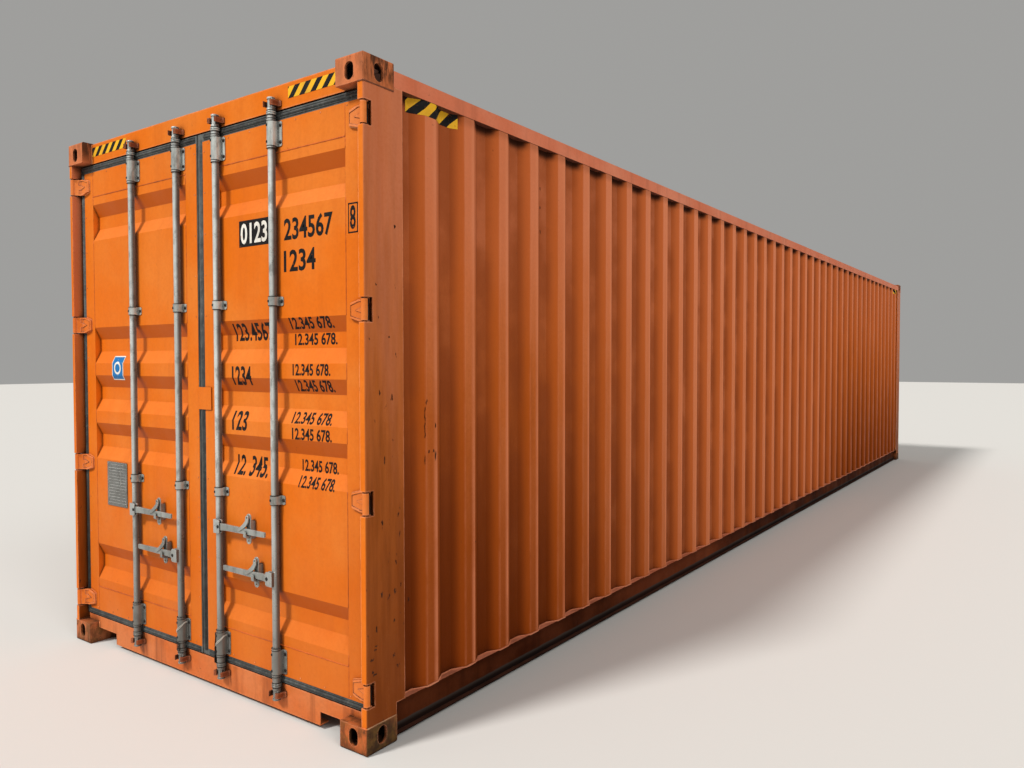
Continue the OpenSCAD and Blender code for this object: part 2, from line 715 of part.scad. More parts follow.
// Door panel with five level recesses, one high, one low and three close together in the middle
panel_mid = (door_bottom + door_top) / 2;
panel_outer = panel_z1 - panel_mid - panel_margin - panel_slope - panel_flat / 2;
recess_z = [-panel_outer, -panel_pitch, 0, panel_pitch, panel_outer];
function recess_face(t) =
  let (e = fold_shift(panel_depth, panel_slope, t), half = panel_flat / 2)
  [for (z = recess_z, p = [
      [-half - panel_slope - e, t], [-half - e, panel_depth + t],
      [half + e, panel_depth + t], [half + panel_slope + e, t]
    ]) [p[1], panel_mid + z + p[0]]];
module door_panel() translate([leaf_x, 0, 0]) along_y(panel_y0, panel_y1) polygon(concat(
  [[0, panel_z0]], recess_face(0), [[0, panel_z1], [sheet_t, panel_z1]],
  backwards(recess_face(sheet_t)), [[sheet_t, panel_z0]]
));
gasket_x = leaf_x + 2;
module door_gasket(inner_lip) difference() {
  box([gasket_x, gasket_x + gasket_t], [door_gap - inner_lip, leaf_y1 + gasket_side],
    [door_bottom - gasket_low, door_top + gasket_top]);
  box([gasket_x - 1, gasket_x + gasket_t + 1], [door_gap, leaf_y1], [door_bottom, door_top]);
}
// Hinge: barrel round the pin, cranked blade that lies on the leaf, tapers to its tip and has raised
// rims round a gusset
crank = leaf_u - hinge_inset;
blade_end = door_edge - hinge_inset + blade_reach;
module blade_outline(inset) polygon([
  [crank - 6 - big + inset * 6, -hinge_h / 2 + inset], [crank + 20, -hinge_h / 2 + inset],
  [blade_end - inset, -hinge_tip_h / 2 + inset], [blade_end - inset, hinge_tip_h / 2 - inset],
  [crank + 20, hinge_h / 2 - inset], [crank - 6 - big + inset * 6, hinge_h / 2 - inset]
]);
module hinge() difference() {
  union() {
    translate([0, 0, -hinge_h / 2]) cylinder(r = barrel_r, h = hinge_h);
    intersection() {
      along_z(-hinge_h / 2, hinge_h / 2) polygon([
        [2, barrel_r - 0.2], [crank - blade_t, crank + 1], [crank - blade_t, blade_end - 6],
        [crank - blade_t + 4, blade_end], [crank, blade_end], [crank, crank - 7], [12, 3]
      ]);
      along_x(-big, 2 * big) blade_outline(0);
    }
    intersection() {
      along_z(-hinge_h / 2, hinge_h / 2) polygon([
        [2, barrel_r - 0.2], [2 - rib_t, barrel_r - 1], [crank - blade_t - rib_t, crank + 1],
        [crank - blade_t - rib_t, blade_end - 9], [crank - blade_t, blade_end - 6],
        [crank - blade_t + 2, blade_end - 6], [crank - blade_t + 2, crank + 1]
      ]);
      along_x(-big, big) difference() {
        blade_outline(0);
        difference() {
          blade_outline(rim_w);
          polygon([[0, -18], [crank, -12], [crank + 42, 0], [crank, 12], [0, 18]]);
        }
      }
    }
  }
  translate([0, 0, -hinge_h / 2 - 1]) cylinder(r = pin_r + pin_clear, h = hinge_h + 2);
}
module door_hinges(side) from_door(side) for (z = hinge_z) translate([hinge_inset, hinge_inset, z]) hinge();

// Rod bracket: bridge over the rod with a rounded flange on the leaf at each side
bridge_r = bearing_r + bracket_t;
module bracket(z0, z1) difference() {
  union() {
    along_z(z0, z1) {
      translate([rod_u, 0]) circle(r = bridge_r);
      translate([rod_u, -bridge_r]) square([rod_offset, 2 * bridge_r]);
    }
    translate([0, 0, (z0 + z1) / 2]) along_x(leaf_u - bracket_t, leaf_u)
      round_square(2 * bracket_reach, z1 - z0, bracket_r);
  }
  translate([rod_u, 0, z0 - 1]) cylinder(r = bearing_r, h = z1 - z0 + 2);
  box([rod_u, leaf_u + 1], [-bearing_r, bearing_r], [z0 - 1, z1 + 1]);
}
module rod_brackets(rods) for (i = rods) translate([x_door, rod_y[i], 0]) {
  bracket(bracket_low[0], bracket_low[1]);
  for (z = [strap_low_z, strap_high_z]) bracket(z - bracket_short / 2, z + bracket_short / 2);
  bracket(bracket_high[0], bracket_high[1]);
}

// Handle retainer: upright plate on a folded foot, with a cradle under the handle and a front lip
cradle_z = -handle_root - retainer_gap + 2;
lobe_z = -46;
module handle_retainer() {
  difference() {
    union() {
      along_x(retainer_u, retainer_u + retainer_t) union() {
        translate([-retainer_w / 2, lobe_z]) square([retainer_w, seal_z + 2 - lobe_z]);
        translate([0, seal_z + 2]) circle(r = retainer_w / 2);
        translate([0, lobe_z]) circle(r = retainer_w / 2);
      }
      box([retainer_u + 1, leaf_u], [-retainer_w / 2 + 3, retainer_w / 2 - 3], [-36, 46]);
    }
    box([retainer_u + retainer_t, leaf_u - 4], [-retainer_w / 2 + 7, retainer_w / 2 - 7], [-37, 47]);
    for (z = [lobe_z - 2, seal_z])
      translate([retainer_u - 1, 0, z]) rotate([0, 90, 0]) cylinder(r = seal_r, h = retainer_t + 2);
  }
  along_y(-9, 9) polygon([
    [retainer_u + 1, cradle_z], [bar_u - retainer_gap, cradle_z], [bar_u - retainer_gap, 0],
    [bar_u - retainer_gap - 4, 0], [bar_u - retainer_gap - 4, cradle_z - 4],
    [bar_u - retainer_gap, cradle_z - 9], [retainer_u + 1, cradle_z - 14]
  ]);
}
module handle_retainers(rods) for (i = rods)
  translate([x_door, rod_y[i] + handle_way[i] * retainer_out[i], handle_z[i]]) handle_retainer();

module left_door_frame() color("darkorange") as_side(left) door_frame();
module left_door_panel() color("darkorange") as_side(left) door_panel();
module left_door_gasket() color("dimgray") as_side(left) door_gasket(gasket_left);
module left_door_hinges() color("darkorange") door_hinges(left);
module left_rod_brackets() color("silver") rod_brackets([0, 1]);
module left_handle_retainers() color("silver") handle_retainers([0, 1]);
module right_door_frame() color("darkorange") as_side(right) door_frame();
module right_door_panel() color("darkorange") as_side(right) door_panel();
module right_door_gasket() color("dimgray") as_side(right) door_gasket(gasket_right);
module right_door_hinges() color("darkorange") door_hinges(right);
module right_rod_brackets() color("silver") rod_brackets([2, 3]);
module right_handle_retainers() color("silver") handle_retainers([2, 3]);

// Centre tab: plate on the right leaf that covers the gap between the leaves
tab_reach = door_gap - 8;
module centre_tab() color("darkorange")
  box([leaf_x - 6, leaf_x], [-door_gap - 56, tab_reach], [tab_z - tab_h / 2, tab_z + tab_h / 2]);

// Lock rod: tube with cams at its ends, collars beside the long brackets and a fork for the handle
module cam(way) intersection() {
  rotate_extrude() polygon([
    [0, -cam_h / 2], [cam_ring_r - 1, -cam_h / 2], [cam_ring_r, 1 - cam_h / 2],
    [cam_ring_r, cam_ring_h - cam_h / 2], [cam_r, cam_ring_h + 4 - cam_h / 2],
    [cam_r, cam_h / 2 - cam_ring_h - 4], [cam_ring_r, cam_h / 2 - cam_ring_h],
    [cam_ring_r, cam_h / 2 - 1], [cam_ring_r - 1, cam_h / 2], [0, cam_h / 2]
  ]);
  union() {
    box([-cam_t / 2, cam_t / 2], way == 1 ? [-cam_core, cam_r] : [-cam_r, cam_core], [-cam_h / 2, cam_h / 2]);
    translate([0, 0, -cam_h / 2]) cylinder(r = cam_core, h = cam_h);
    for (z = [-cam_h / 2, cam_h / 2 - cam_ring_h])
      translate([0, 0, z]) cylinder(r = cam_ring_r, h = cam_ring_h);
  }
}
module fork_plate() polygon([
  [-8, -hub_h], [pivot_out + 3, -hub_h], [pivot_out + 10, 7 - hub_h], [pivot_out + 10, hub_h - 7],
  [pivot_out + 3, hub_h], [-8, hub_h]
]);
module fork() difference() {
  union() {
    along_x(fork_u, fork_u + fork_t) fork_plate();
    along_x(handle_u + handle_t + fork_gap, rod_u - rod_r + 8) fork_plate();
    box([fork_u, rod_u - rod_r + 8], [-8, -3], [-hub_h, hub_h]);
  }
  translate([0, pivot_out, 0]) rotate([0, 90, 0]) cylinder(r = pivot_r + pin_clear, h = big);
}
module lock_rod(i) color("silver") translate([x_door, rod_y[i], 0]) difference() {
  union() {
    translate([rod_u, 0, cam_low_z]) cam(lobe_way[i]);
    translate([rod_u, 0, cam_high_z]) cam(lobe_way[i]);
    translate([rod_u, 0, cam_low_z + cam_h / 2])
      cylinder(r = rod_r, h = cam_high_z - cam_low_z - cam_h);
    for (z = [
        bracket_low[0] - 1 - collar_h, bracket_low[1] + 1,
        bracket_high[0] - 1 - collar_h, bracket_high[1] + 1
      ]) translate([rod_u, 0, z]) cylinder(r = collar_r, h = collar_h);
    translate([rod_u, 0, cam_low_z + cam_h / 2 - 1])
      cylinder(r = shank_r, h = bracket_low[0] - collar_h - cam_low_z - cam_h / 2);
    translate([rod_u, 0, bracket_high[1] + collar_h])
      cylinder(r = shank_r, h = cam_high_z - cam_h / 2 + 1 - bracket_high[1] - collar_h);
    translate([0, 0, handle_z[i]]) mirror([0, handle_way[i] == 1 ? 0 : 1, 0]) fork();
  }
  translate([rod_u, 0, bracket_low[0]])
    cylinder(r = rod_r - rod_t, h = bracket_high[1] - bracket_low[0]);
  translate([rod_u, 0, 0]) cylinder(r = 4, h = height);
}
module lock_rod_1() lock_rod(0);
module lock_rod_2() lock_rod(1);
module lock_rod_3() lock_rod(2);
module lock_rod_4() lock_rod(3);

// Handle: tapered bar on a pivot pin through the fork, stepped back to its retainer, with a seal arm
// that slants down over its front
module handle_plan() polygon([
  [handle_u, 0], [handle_u, pivot_out + 24], [bar_u, pivot_out + 36], [bar_u, handle_reach],
  [bar_u + handle_t, handle_reach], [bar_u + handle_t, pivot_out + 32],
  [handle_u + handle_t, pivot_out + 20], [handle_u + handle_t, 0]
]);
module handle_outline() union() {
  translate([pivot_out, 0]) circle(r = handle_root);
  polygon([
    [pivot_out, -handle_root], [pivot_out + 60, -handle_root + 2], [handle_reach - 3, -handle_tip],
    [handle_reach, -handle_tip + 3], [handle_reach, handle_tip - 3], [handle_reach - 3, handle_tip],
    [pivot_out + 60, handle_root - 2], [pivot_out, handle_root]
  ]);
}
module seal_arm() difference() {
  intersection() {
    along_y(-big, 2 * big) polygon([
      [bar_u - 4, -8], [bar_u - 4, 12], [bar_u, 34], [bar_u + 4.5, 50], [bar_u + 4.5, seal_z + strap_w],
      [bar_u + handle_t, seal_z + strap_w], [bar_u + handle_t, 44], [bar_u + handle_t - 3, 24],
      [bar_u + handle_t - 3, -8]
    ]);
    along_x(0, big) union() {
      translate([0, seal_z]) circle(r = strap_w / 2);
      polygon([
        [-strap_w / 2, seal_z], [-strap_w / 2 + 1, 44], [0, 25], [20, 11], [strap_reach - 10, -4],
        [strap_reach - 1, -4], [strap_reach, 4], [strap_reach - 16, 17], [24, 32], [strap_w / 2 + 2, 48],
        [strap_w / 2, seal_z]
      ]);
    }
  }
  translate([bar_u - 1, 0, seal_z]) rotate([0, 90, 0]) cylinder(r = seal_r, h = handle_t + 2);
}
module handle(i) color("silver")
  translate([x_door, rod_y[i], handle_z[i]]) mirror([0, handle_way[i] == 1 ? 0 : 1, 0]) {
    intersection() {
      along_z(-big, big) handle_plan();
      along_x(0, big) handle_outline();
    }
    translate([0, retainer_out[i], 0]) mirror([0, handle_way[i] == 1 ? 0 : 1, 0]) seal_arm();
    translate([fork_u, pivot_out, 0]) rotate([0, 90, 0])
      cylinder(r = pivot_r, h = rod_u - rod_r + 8 - fork_u);
  }
module handle_1() handle(0);
module handle_2() handle(1);
module handle_3() handle(2);
module handle_4() handle(3);

door_bottom_castings();
door_top_castings();
front_bottom_castings();
front_top_castings();
door_post_left();
door_post_right();
door_header();
door_sill();
cam_keepers();
hinge_pins();
front_post_left();
front_post_right();
front_header();
front_sill();
front_wall();
side_wall_left();
side_wall_right();
top_rail_left();
top_rail_right();
bottom_rail_left();
bottom_rail_right();
roof();
floor();
cross_members();
gooseneck_tunnel();
left_door_frame();
left_door_panel();
left_door_gasket();
left_door_hinges();
left_rod_brackets();
left_handle_retainers();
right_door_frame();
right_door_panel();
right_door_gasket();
right_door_hinges();
right_rod_brackets();
right_handle_retainers();
centre_tab();
lock_rod_1();
lock_rod_2();
lock_rod_3();
lock_rod_4();
handle_1();
handle_2();
handle_3();
handle_4();
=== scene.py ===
import math
import random

import bmesh
import bpy
from mathutils import Matrix, Vector


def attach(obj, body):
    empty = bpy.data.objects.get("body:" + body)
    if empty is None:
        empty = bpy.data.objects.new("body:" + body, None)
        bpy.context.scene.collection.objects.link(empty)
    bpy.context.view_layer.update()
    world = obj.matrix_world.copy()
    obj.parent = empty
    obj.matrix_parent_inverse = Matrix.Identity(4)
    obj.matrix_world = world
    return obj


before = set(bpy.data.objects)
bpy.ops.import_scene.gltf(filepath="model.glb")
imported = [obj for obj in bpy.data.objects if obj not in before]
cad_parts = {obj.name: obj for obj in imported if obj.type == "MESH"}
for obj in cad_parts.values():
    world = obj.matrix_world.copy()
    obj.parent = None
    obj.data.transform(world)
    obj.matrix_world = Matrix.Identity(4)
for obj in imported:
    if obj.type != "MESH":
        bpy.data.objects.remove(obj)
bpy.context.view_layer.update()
rng = random.Random(11)

# Whole container in metres, the same as the part's source: the door end is at the low end of x
LENGTH, WIDTH, HEIGHT = 12.192, 2.438, 2.896
DOOR_X, FRONT_X, SIDE_Y = -LENGTH / 2, LENGTH / 2, WIDTH / 2
CASTING_X, CASTING_Y, CASTING_Z = 0.178, 0.162, 0.118
POST_X = 0.231

# Door leaves: outer face, lower and upper edge, panel inside the frame, and the panel's recesses
FACE_X = DOOR_X + 0.056
DOOR_Z = (0.187, 2.731)
PANEL_Y = (0.123, 1.053)
PANEL_Z = (DOOR_Z[0] + 0.141, DOOR_Z[1] - 0.141)
RECESS_Z = [sum(DOOR_Z) / 2 + d for d in (-0.980, -0.275, 0, 0.275, 0.980)]
RECESS_HALF, RECESS_FLAT, RECESS_DEEP = 0.103, 0.035, 0.032
RECESS_FOLDS = (-RECESS_HALF, -RECESS_FLAT, RECESS_FLAT, RECESS_HALF)
FOLD_Z = sorted(middle + fold for middle in RECESS_Z for fold in RECESS_FOLDS)
LEAVES = ((1, "left_door"), (-1, "right_door"))

# Gear on the doors
ROD_X = DOOR_X + 0.032
ROD_Y = (0.597, 0.170, -0.170, -0.597)
ROD_LEAF = ("left_door", "left_door", "right_door", "right_door")
BRACKETS = ((0.198, 0.310), (0.9835, 1.0245), (1.8935, 1.9345), (2.614, 2.726))
LONG_BRACKET = 0.1
HANDLE_WAY = (-1, 1, -1, 1)
HANDLE_Z = (0.838, 0.641, 0.838, 0.641)
HINGE_LOW, HINGE_HIGH = 0.251, 2.654
HINGE_Z = [HINGE_LOW + i * (HINGE_HIGH - HINGE_LOW) / 3 for i in range(4)]

# Side walls: half length between the posts, outer face of the ridges, and the folds
WALL_X = LENGTH / 2 - POST_X
WALL_Y = SIDE_Y - 0.005
WALL_DEEP = 0.036
RIDGE_COUNT = 42
RIDGE_FIRST = 0.184 - WALL_X
RIDGE_STEP = -2 * RIDGE_FIRST / (RIDGE_COUNT - 1)
RIDGE_FLAT, RIDGE_SLOPE = 0.036, 0.068
RIDGE_FOLDS = (-RIDGE_FLAT - RIDGE_SLOPE, -RIDGE_FLAT, RIDGE_FLAT, RIDGE_FLAT + RIDGE_SLOPE)

# Marks and thin plates stand this far off the face that carries them
PROUD = 0.0006

# Camera at the photograph's viewing angle
CAMERA_AT = (-8.355, -3.566, 1.639)
YAW, PITCH, ROLL = math.radians(35.477), math.radians(-1.642), math.radians(-0.058)
FOCAL_PIXELS, PHOTO_PIXELS = 785.8, 1024
SENSOR = 36

ahead = Vector((math.cos(PITCH) * math.cos(YAW), math.cos(PITCH) * math.sin(YAW), math.sin(PITCH)))
level = ahead.cross(Vector((0, 0, 1))).normalized()
upright = level.cross(ahead)
across = level * math.cos(ROLL) + upright * math.sin(ROLL)
rise = -level * math.sin(ROLL) + upright * math.cos(ROLL)
cam_data = bpy.data.cameras.new("camera")
cam_data.sensor_width = SENSOR
cam_data.lens = FOCAL_PIXELS / PHOTO_PIXELS * SENSOR
cam_data.clip_end = 200
cam = bpy.data.objects.new("camera", cam_data)
bpy.context.collection.objects.link(cam)
cam.matrix_world = Matrix((
    (across.x, rise.x, -ahead.x, CAMERA_AT[0]),
    (across.y, rise.y, -ahead.y, CAMERA_AT[1]),
    (across.z, rise.z, -ahead.z, CAMERA_AT[2]),
    (0, 0, 0, 1),
))
bpy.context.scene.camera = cam
bpy.context.scene.view_settings.view_transform = "Standard"


# Material helper
class Graph:
    """The nodes of one material. Each method adds a node and returns the socket that it gives."""

    def __init__(self, name):
        self.mat = bpy.data.materials.new(name)
        self.mat.use_nodes = True
        self.tree = self.mat.node_tree
        self.tree.nodes.clear()
        output = self.tree.nodes.new("ShaderNodeOutputMaterial")
        self.bsdf = self.tree.nodes.new("ShaderNodeBsdfPrincipled")
        self.put(output.inputs[0], self.bsdf.outputs[0])
        self.coord = self.tree.nodes.new("ShaderNodeTexCoord").outputs["Object"]
        self.color = None

    def put(self, socket, value):
        if isinstance(value, bpy.types.NodeSocket):
            self.tree.links.new(value, socket)
        else:
            socket.default_value = value

    def node(self, kind, **inputs):
        """Adds a node and sets its inputs by name, with spaces written as underscores."""
        node = self.tree.nodes.new("ShaderNode" + kind)
        for key, value in inputs.items():
            self.put(node.inputs[key.replace("_", " ")], value)
        return node

    def scaled(self, scale, shift=(0, 0, 0)):
        return self.node("Mapping", Vector=self.coord, Scale=scale, Location=shift).outputs[0]

    def noise(self, scale, detail=4, rough=0.55, place=None, distortion=0.0):
        place = self.coord if place is None else place
        node = self.node("TexNoise", Vector=place, Scale=scale, Detail=detail, Roughness=rough,
                         Distortion=distortion)
        return node.outputs["Fac"]

    def cells(self, scale):
        return self.node("TexVoronoi", Vector=self.coord, Scale=scale).outputs["Distance"]

    def ramp(self, value, low, high, start=0.0, end=1.0):
        """Runs smoothly from start to end while the value goes from low to high."""
        node = self.node("MapRange")
        node.interpolation_type = "SMOOTHSTEP"
        self.put(node.inputs["Value"], value)
        for key, number in (("From Min", low), ("From Max", high), ("To Min", start), ("To Max", end)):
            self.put(node.inputs[key], number)
        return node.outputs[0]

    def math(self, operation, a, b=0.0):
        node = self.node("Math")
        node.operation = operation
        self.put(node.inputs[0], a)
        self.put(node.inputs[1], b)
        return node.outputs[0]

    def times(self, value, *others):
        for other in others:
            value = self.math("MULTIPLY", value, other)
        return value

    def plus(self, a, b):
        return self.math("ADD", a, b)

    def minus(self, a, b):
        return self.math("SUBTRACT", a, b)

    def larger(self, a, b):
        return self.math("MAXIMUM", a, b)

    def unsigned(self, a):
        return self.math("ABSOLUTE", a)

    def mix(self, mask, a, b):
        node = self.node("Mix")
        node.data_type = "RGBA"
        self.put(node.inputs["Factor"], mask)
        self.put(node.inputs[6], a)
        self.put(node.inputs[7], b)
        return node.outputs[2]

    def coat(self, mask, color):
        """Lays a colour over what the material has, where the mask is above nought."""
        self.color = self.mix(mask, self.color, color)

    def axis(self, which):
        return self.node("SeparateXYZ", Vector=self.coord).outputs[which]

    def facing(self, which):
        """How far a face looks along an axis of its own body, from -1 to 1."""
        turn = self.node("VectorTransform", Vector=self.node("NewGeometry").outputs["Normal"])
        turn.vector_type = "NORMAL"
        turn.convert_from, turn.convert_to = "WORLD", "OBJECT"
        return self.node("SeparateXYZ", Vector=turn.outputs[0]).outputs[which]

    def sideways(self):
        return self.ramp(self.unsigned(self.facing(1)), 0.45, 0.8)

    def bump(self, height, strength, distance, normal=None):
        node = self.node("Bump", Height=height, Strength=strength, Distance=distance)
        if normal is not None:
            self.put(node.inputs["Normal"], normal)
        return node.outputs[0]

    def bevel(self, radius):
        node = self.node("Bevel", Radius=radius)
        node.samples = 4
        return node.outputs[0]

    def edges(self, radius, low=0.02, high=0.25):
        dot = self.node("VectorMath")
        dot.operation = "DOT_PRODUCT"
        self.put(dot.inputs[0], self.bevel(radius))
        self.put(dot.inputs[1], self.node("NewGeometry").outputs["Normal"])
        return self.ramp(self.minus(1.0, dot.outputs["Value"]), low, high)

    def corners(self, distance):
        node = self.node("AmbientOcclusion", Distance=distance)
        node.samples = 4
        return self.ramp(node.outputs["AO"], 0.35, 0.9, 1.0, 0.0)

    def surface(self, rough, normal, **inputs):
        """Joins the colour, roughness and bump to the shader and returns the finished material."""
        self.put(self.bsdf.inputs["Base Color"], self.color)
        self.put(self.bsdf.inputs["Roughness"], rough)
        self.put(self.bsdf.inputs["Normal"], normal)
        for key, value in inputs.items():
            self.put(self.bsdf.inputs[key.replace("_", " ")], value)
        return self.mat


def rgb(*levels):
    """A display colour, 0 to 255, as the linear colour that a shader takes."""
    shares = [level / 255 for level in levels]
    linear = [c / 12.92 if c <= 0.04045 else ((c + 0.055) / 1.055) ** 2.4 for c in shares]
    return (*linear, 1)


RUST = rgb(92, 48, 28)
RUST_DARK = rgb(44, 24, 15)
ORANGE = rgb(214, 105, 12)
ORANGE_DEEP = rgb(174, 76, 8)
ORANGE_PALE = rgb(216, 118, 38)
DOOR_TONES = (ORANGE, ORANGE_DEEP, ORANGE_PALE)
SIDE_DEEP = rgb(138, 62, 16)
WALL_TONES = (rgb(197, 101, 40), SIDE_DEEP, rgb(204, 112, 60))
# Painted shade for the wall's valleys, and a painted highlight for its folds and ridges
VALLEY_SHADE = rgb(148, 72, 34)
RIDGE_HIGHLIGHT = rgb(214, 130, 92)
PALE_DUST = rgb(150, 128, 104)


# Layers of a paint, in the order that a look names them
def slope_shade_and_highlight(g, amount):
    """Painted shade on folds that look down, and a painted highlight on folds that look up."""
    g.coat(g.ramp(g.facing(2), -0.36, -0.10, amount, 0.0), rgb(186, 86, 10))
    g.coat(g.ramp(g.facing(2), 0.10, 0.36, 0.0, 0.2 * amount), rgb(226, 128, 66))


def low_shade(g, amount):
    drips = g.noise(5, 5, 0.6, g.scaled((1, 1, 0.3)))
    g.coat(g.ramp(g.minus(g.axis(2), g.times(drips, 0.8)), -0.2, 0.9, amount, 0.0), rgb(176, 80, 14))


def belly_shade(g, amount):
    g.coat(g.ramp(g.facing(2), -0.9, -0.4, amount, 0.0), rgb(44, 20, 12))


def post_tone(g):
    """Side faces are browner, and all but the end faces fade to pink higher up."""
    grain = g.ramp(g.noise(13, 6, 0.62, g.scaled((1, 1, 0.10))), 0.36, 0.66)
    g.coat(g.sideways(), g.mix(grain, rgb(190, 102, 38), rgb(154, 80, 22)))
    wash = g.noise(9, 6, 0.62, g.scaled((1, 1, 0.12), (0.3, 0.7, 0)))
    rosy = g.ramp(g.plus(g.axis(2), g.times(wash, 2.4)), 2.0, 4.2, 0.0, 0.75)
    g.coat(g.times(rosy, g.ramp(g.facing(0), -0.97, -0.6)), rgb(204, 122, 88))


def low_dirt_and_shade(g, amount, color, middle):
    """Painted shade and dirt: side faces darken towards the ground, less in the middle of the length. Returns
    where.
    """
    drips = g.noise(4, 6, 0.62, g.scaled((1.6, 1.6, 0.12)))
    low = g.ramp(g.minus(g.axis(2), g.times(drips, 1.1)), -0.6, 1.7, 1.0, 0.0)
    door_end = g.ramp(g.axis(0), -5.5, -2.2, 1.0, middle)
    low = g.times(low, g.sideways(), g.larger(door_end, g.ramp(g.axis(0), 0.3, 3.0, 0.0, 1.0)))
    g.coat(g.times(low, amount), color)
    return low


def wall_fade_and_painted_light(g):
    """Side walls fade at the top and are paler in the middle of the length, and painted shade darkens their
    valleys.
    """
    wash = g.times(g.noise(6, 5, 0.6, g.scaled((1, 1, 0.12))), 0.8)
    g.coat(g.ramp(g.plus(g.axis(2), wash), 1.8, 3.1, 0.0, 0.42), rgb(222, 138, 108))
    middle = g.times(g.ramp(g.axis(0), -5.0, -2.6, 0.0, 0.46), g.ramp(g.axis(0), 0.5, 2.5, 1.0, 0.15))
    g.coat(middle, rgb(226, 138, 98))
    # Painted shade: the slopes that face the door end are a deeper orange.
    g.coat(g.ramp(g.facing(0), -0.45, -0.28, 0.7, 0.0), rgb(180, 84, 20))
    across = g.unsigned(g.axis(1))
    valleys = g.ramp(across, WALL_Y - WALL_DEEP + 0.0005, WALL_Y - 0.006, 1.0, 0.0)
    # Painted shade in the valleys.
    g.coat(g.times(valleys, g.ramp(g.noise(2.6, 4), 0.3, 0.6, 0.45, 0.9)), VALLEY_SHADE)
    # Painted shade and dirt towards the ground, darkest in the low valleys.
    low = low_dirt_and_shade(g, 0.85, rgb(124, 50, 2), 0.15)
    g.coat(g.times(low, valleys, 0.75), rgb(76, 26, 0))
    # Painted highlights along the outer folds.
    folds = g.times(g.edges(0.018, 0.002, 0.03), g.ramp(across, WALL_Y - 0.010, WALL_Y - 0.003))
    g.coat(g.times(folds, g.ramp(g.noise(5, 5), 0.3, 0.6, 0.05, 0.28)), RIDGE_HIGHLIGHT)


def ridge_highlights(g):
    """A painted highlight runs up the far fold of every ridge."""
    middle = RIDGE_STEP / 2
    along = g.math("MODULO", g.plus(g.axis(0), middle - RIDGE_FIRST), RIDGE_STEP)
    strip = g.times(g.ramp(along, middle + 0.006, middle + 0.030),
                    g.ramp(along, middle + 0.040, middle + 0.052, 1.0, 0.0))
    g.coat(g.times(strip, g.ramp(g.noise(3, 5), 0.3, 0.6, 0.25, 0.6)), RIDGE_HIGHLIGHT)


def rail_shadow(g):
    """A painted shadow lies in the wall's valleys, under the top rail."""
    high = g.ramp(g.minus(g.axis(2), g.times(g.noise(7, 3), 0.02)), 2.728, 2.772)
    valleys = g.ramp(g.unsigned(g.axis(1)), WALL_Y - 0.024, WALL_Y - 0.003, 0.92, 0.25)
    g.coat(g.times(high, valleys), rgb(40, 20, 14))


def dust(g, amount, color=PALE_DUST):
    top = g.times(g.ramp(g.facing(2), 0.4, 0.95), g.ramp(g.noise(6, 5), 0.25, 0.7, 0.4, 1.0))
    g.coat(g.times(top, amount), color)


def ground_dirt_and_shade(g, amount):
    """Mud and moss at the foot of the bottom castings, thickest on their side faces, where it is partly
    painted shade.
    """
    wave = g.times(g.noise(5, 5, 0.6, g.scaled((1, 1, 0.4))), 0.5)
    low = g.ramp(g.minus(g.axis(2), wave), -0.18, 0.02, 1.0, 0.0)
    side = g.ramp(g.times(g.facing(1), g.axis(1)), 0.3, 0.9)
    patches = g.ramp(g.noise(19, 7, 0.65, g.scaled((1, 1, 0.6))), 0.42, 0.58, 0.25, 0.75)
    moss = g.mix(g.ramp(g.noise(30, 6, 0.65), 0.38, 0.66), rgb(44, 34, 18), rgb(92, 68, 30))
    g.coat(g.times(low, g.larger(side, patches), amount), moss)


def pale_stretch(g):
    """The bottom rail is paler over a few metres of its length."""
    g.coat(g.times(g.ramp(g.axis(0), -4.0, -3.4, 0.0, 0.16), g.ramp(g.axis(0), -2.3, -1.4, 1.0, 0.0)),
           rgb(190, 96, 56))


def foot_shadow(g, amount):
    """A painted shadow along the foot of the bottom rail, lighter at its upper edge."""
    wave = g.times(g.noise(9, 5), 0.012)
    tone = g.mix(g.ramp(g.axis(2), 0.028, 0.055), rgb(17, 15, 14), rgb(60, 55, 51))
    g.coat(g.ramp(g.plus(g.axis(2), wave), 0.054, 0.062, amount, 0.0), tone)


# Painted highlights in patches along the edges.
def edge_highlights(g, amount):
    glint = g.times(g.edges(0.009, 0.01, 0.12), g.ramp(g.noise(11, 5), 0.32, 0.6, 0.25, 1.0))
    g.coat(g.times(glint, amount), rgb(230, 150, 112))


def top_soot(g, amount):
    soot = g.ramp(g.noise(26, 6, 0.65, g.scaled((1, 1, 0.22))), 0.40, 0.56)
    high = g.ramp(g.plus(g.axis(2), g.times(g.noise(9, 4), 0.10)), 2.80, 2.90)
    side = g.ramp(g.unsigned(g.facing(1)), 0.3, 0.8, 0.35, 1.0)
    g.coat(g.times(soot, high, g.times(side, amount)), rgb(62, 38, 24))


def cavity_shade(g):
    """Painted shade inside a corner casting, which lies between its outer and its inner walls on each axis.
    """
    inside = 0.93
    for value, size, outer, inner in (
        (g.axis(0), LENGTH, (0.014, 0.005), (0.175, 0.171)),
        (g.axis(1), WIDTH, (0.014, 0.005), (0.159, 0.155)),
        (g.minus(g.axis(2), HEIGHT / 2), HEIGHT, (0.012, 0.002), (0.115, 0.112)),
    ):
        out = g.unsigned(value)
        inside = g.times(g.ramp(out, size / 2 - outer[0], size / 2 - outer[1], 1.0, 0.0),
                         g.ramp(out, size / 2 - inner[0], size / 2 - inner[1]), inside)
    g.coat(inside, rgb(24, 15, 10))


# Painted shade in corners and creases.
def corner_shade(g, amount, reach):
    g.coat(g.times(g.corners(reach), amount), rgb(42, 20, 10))


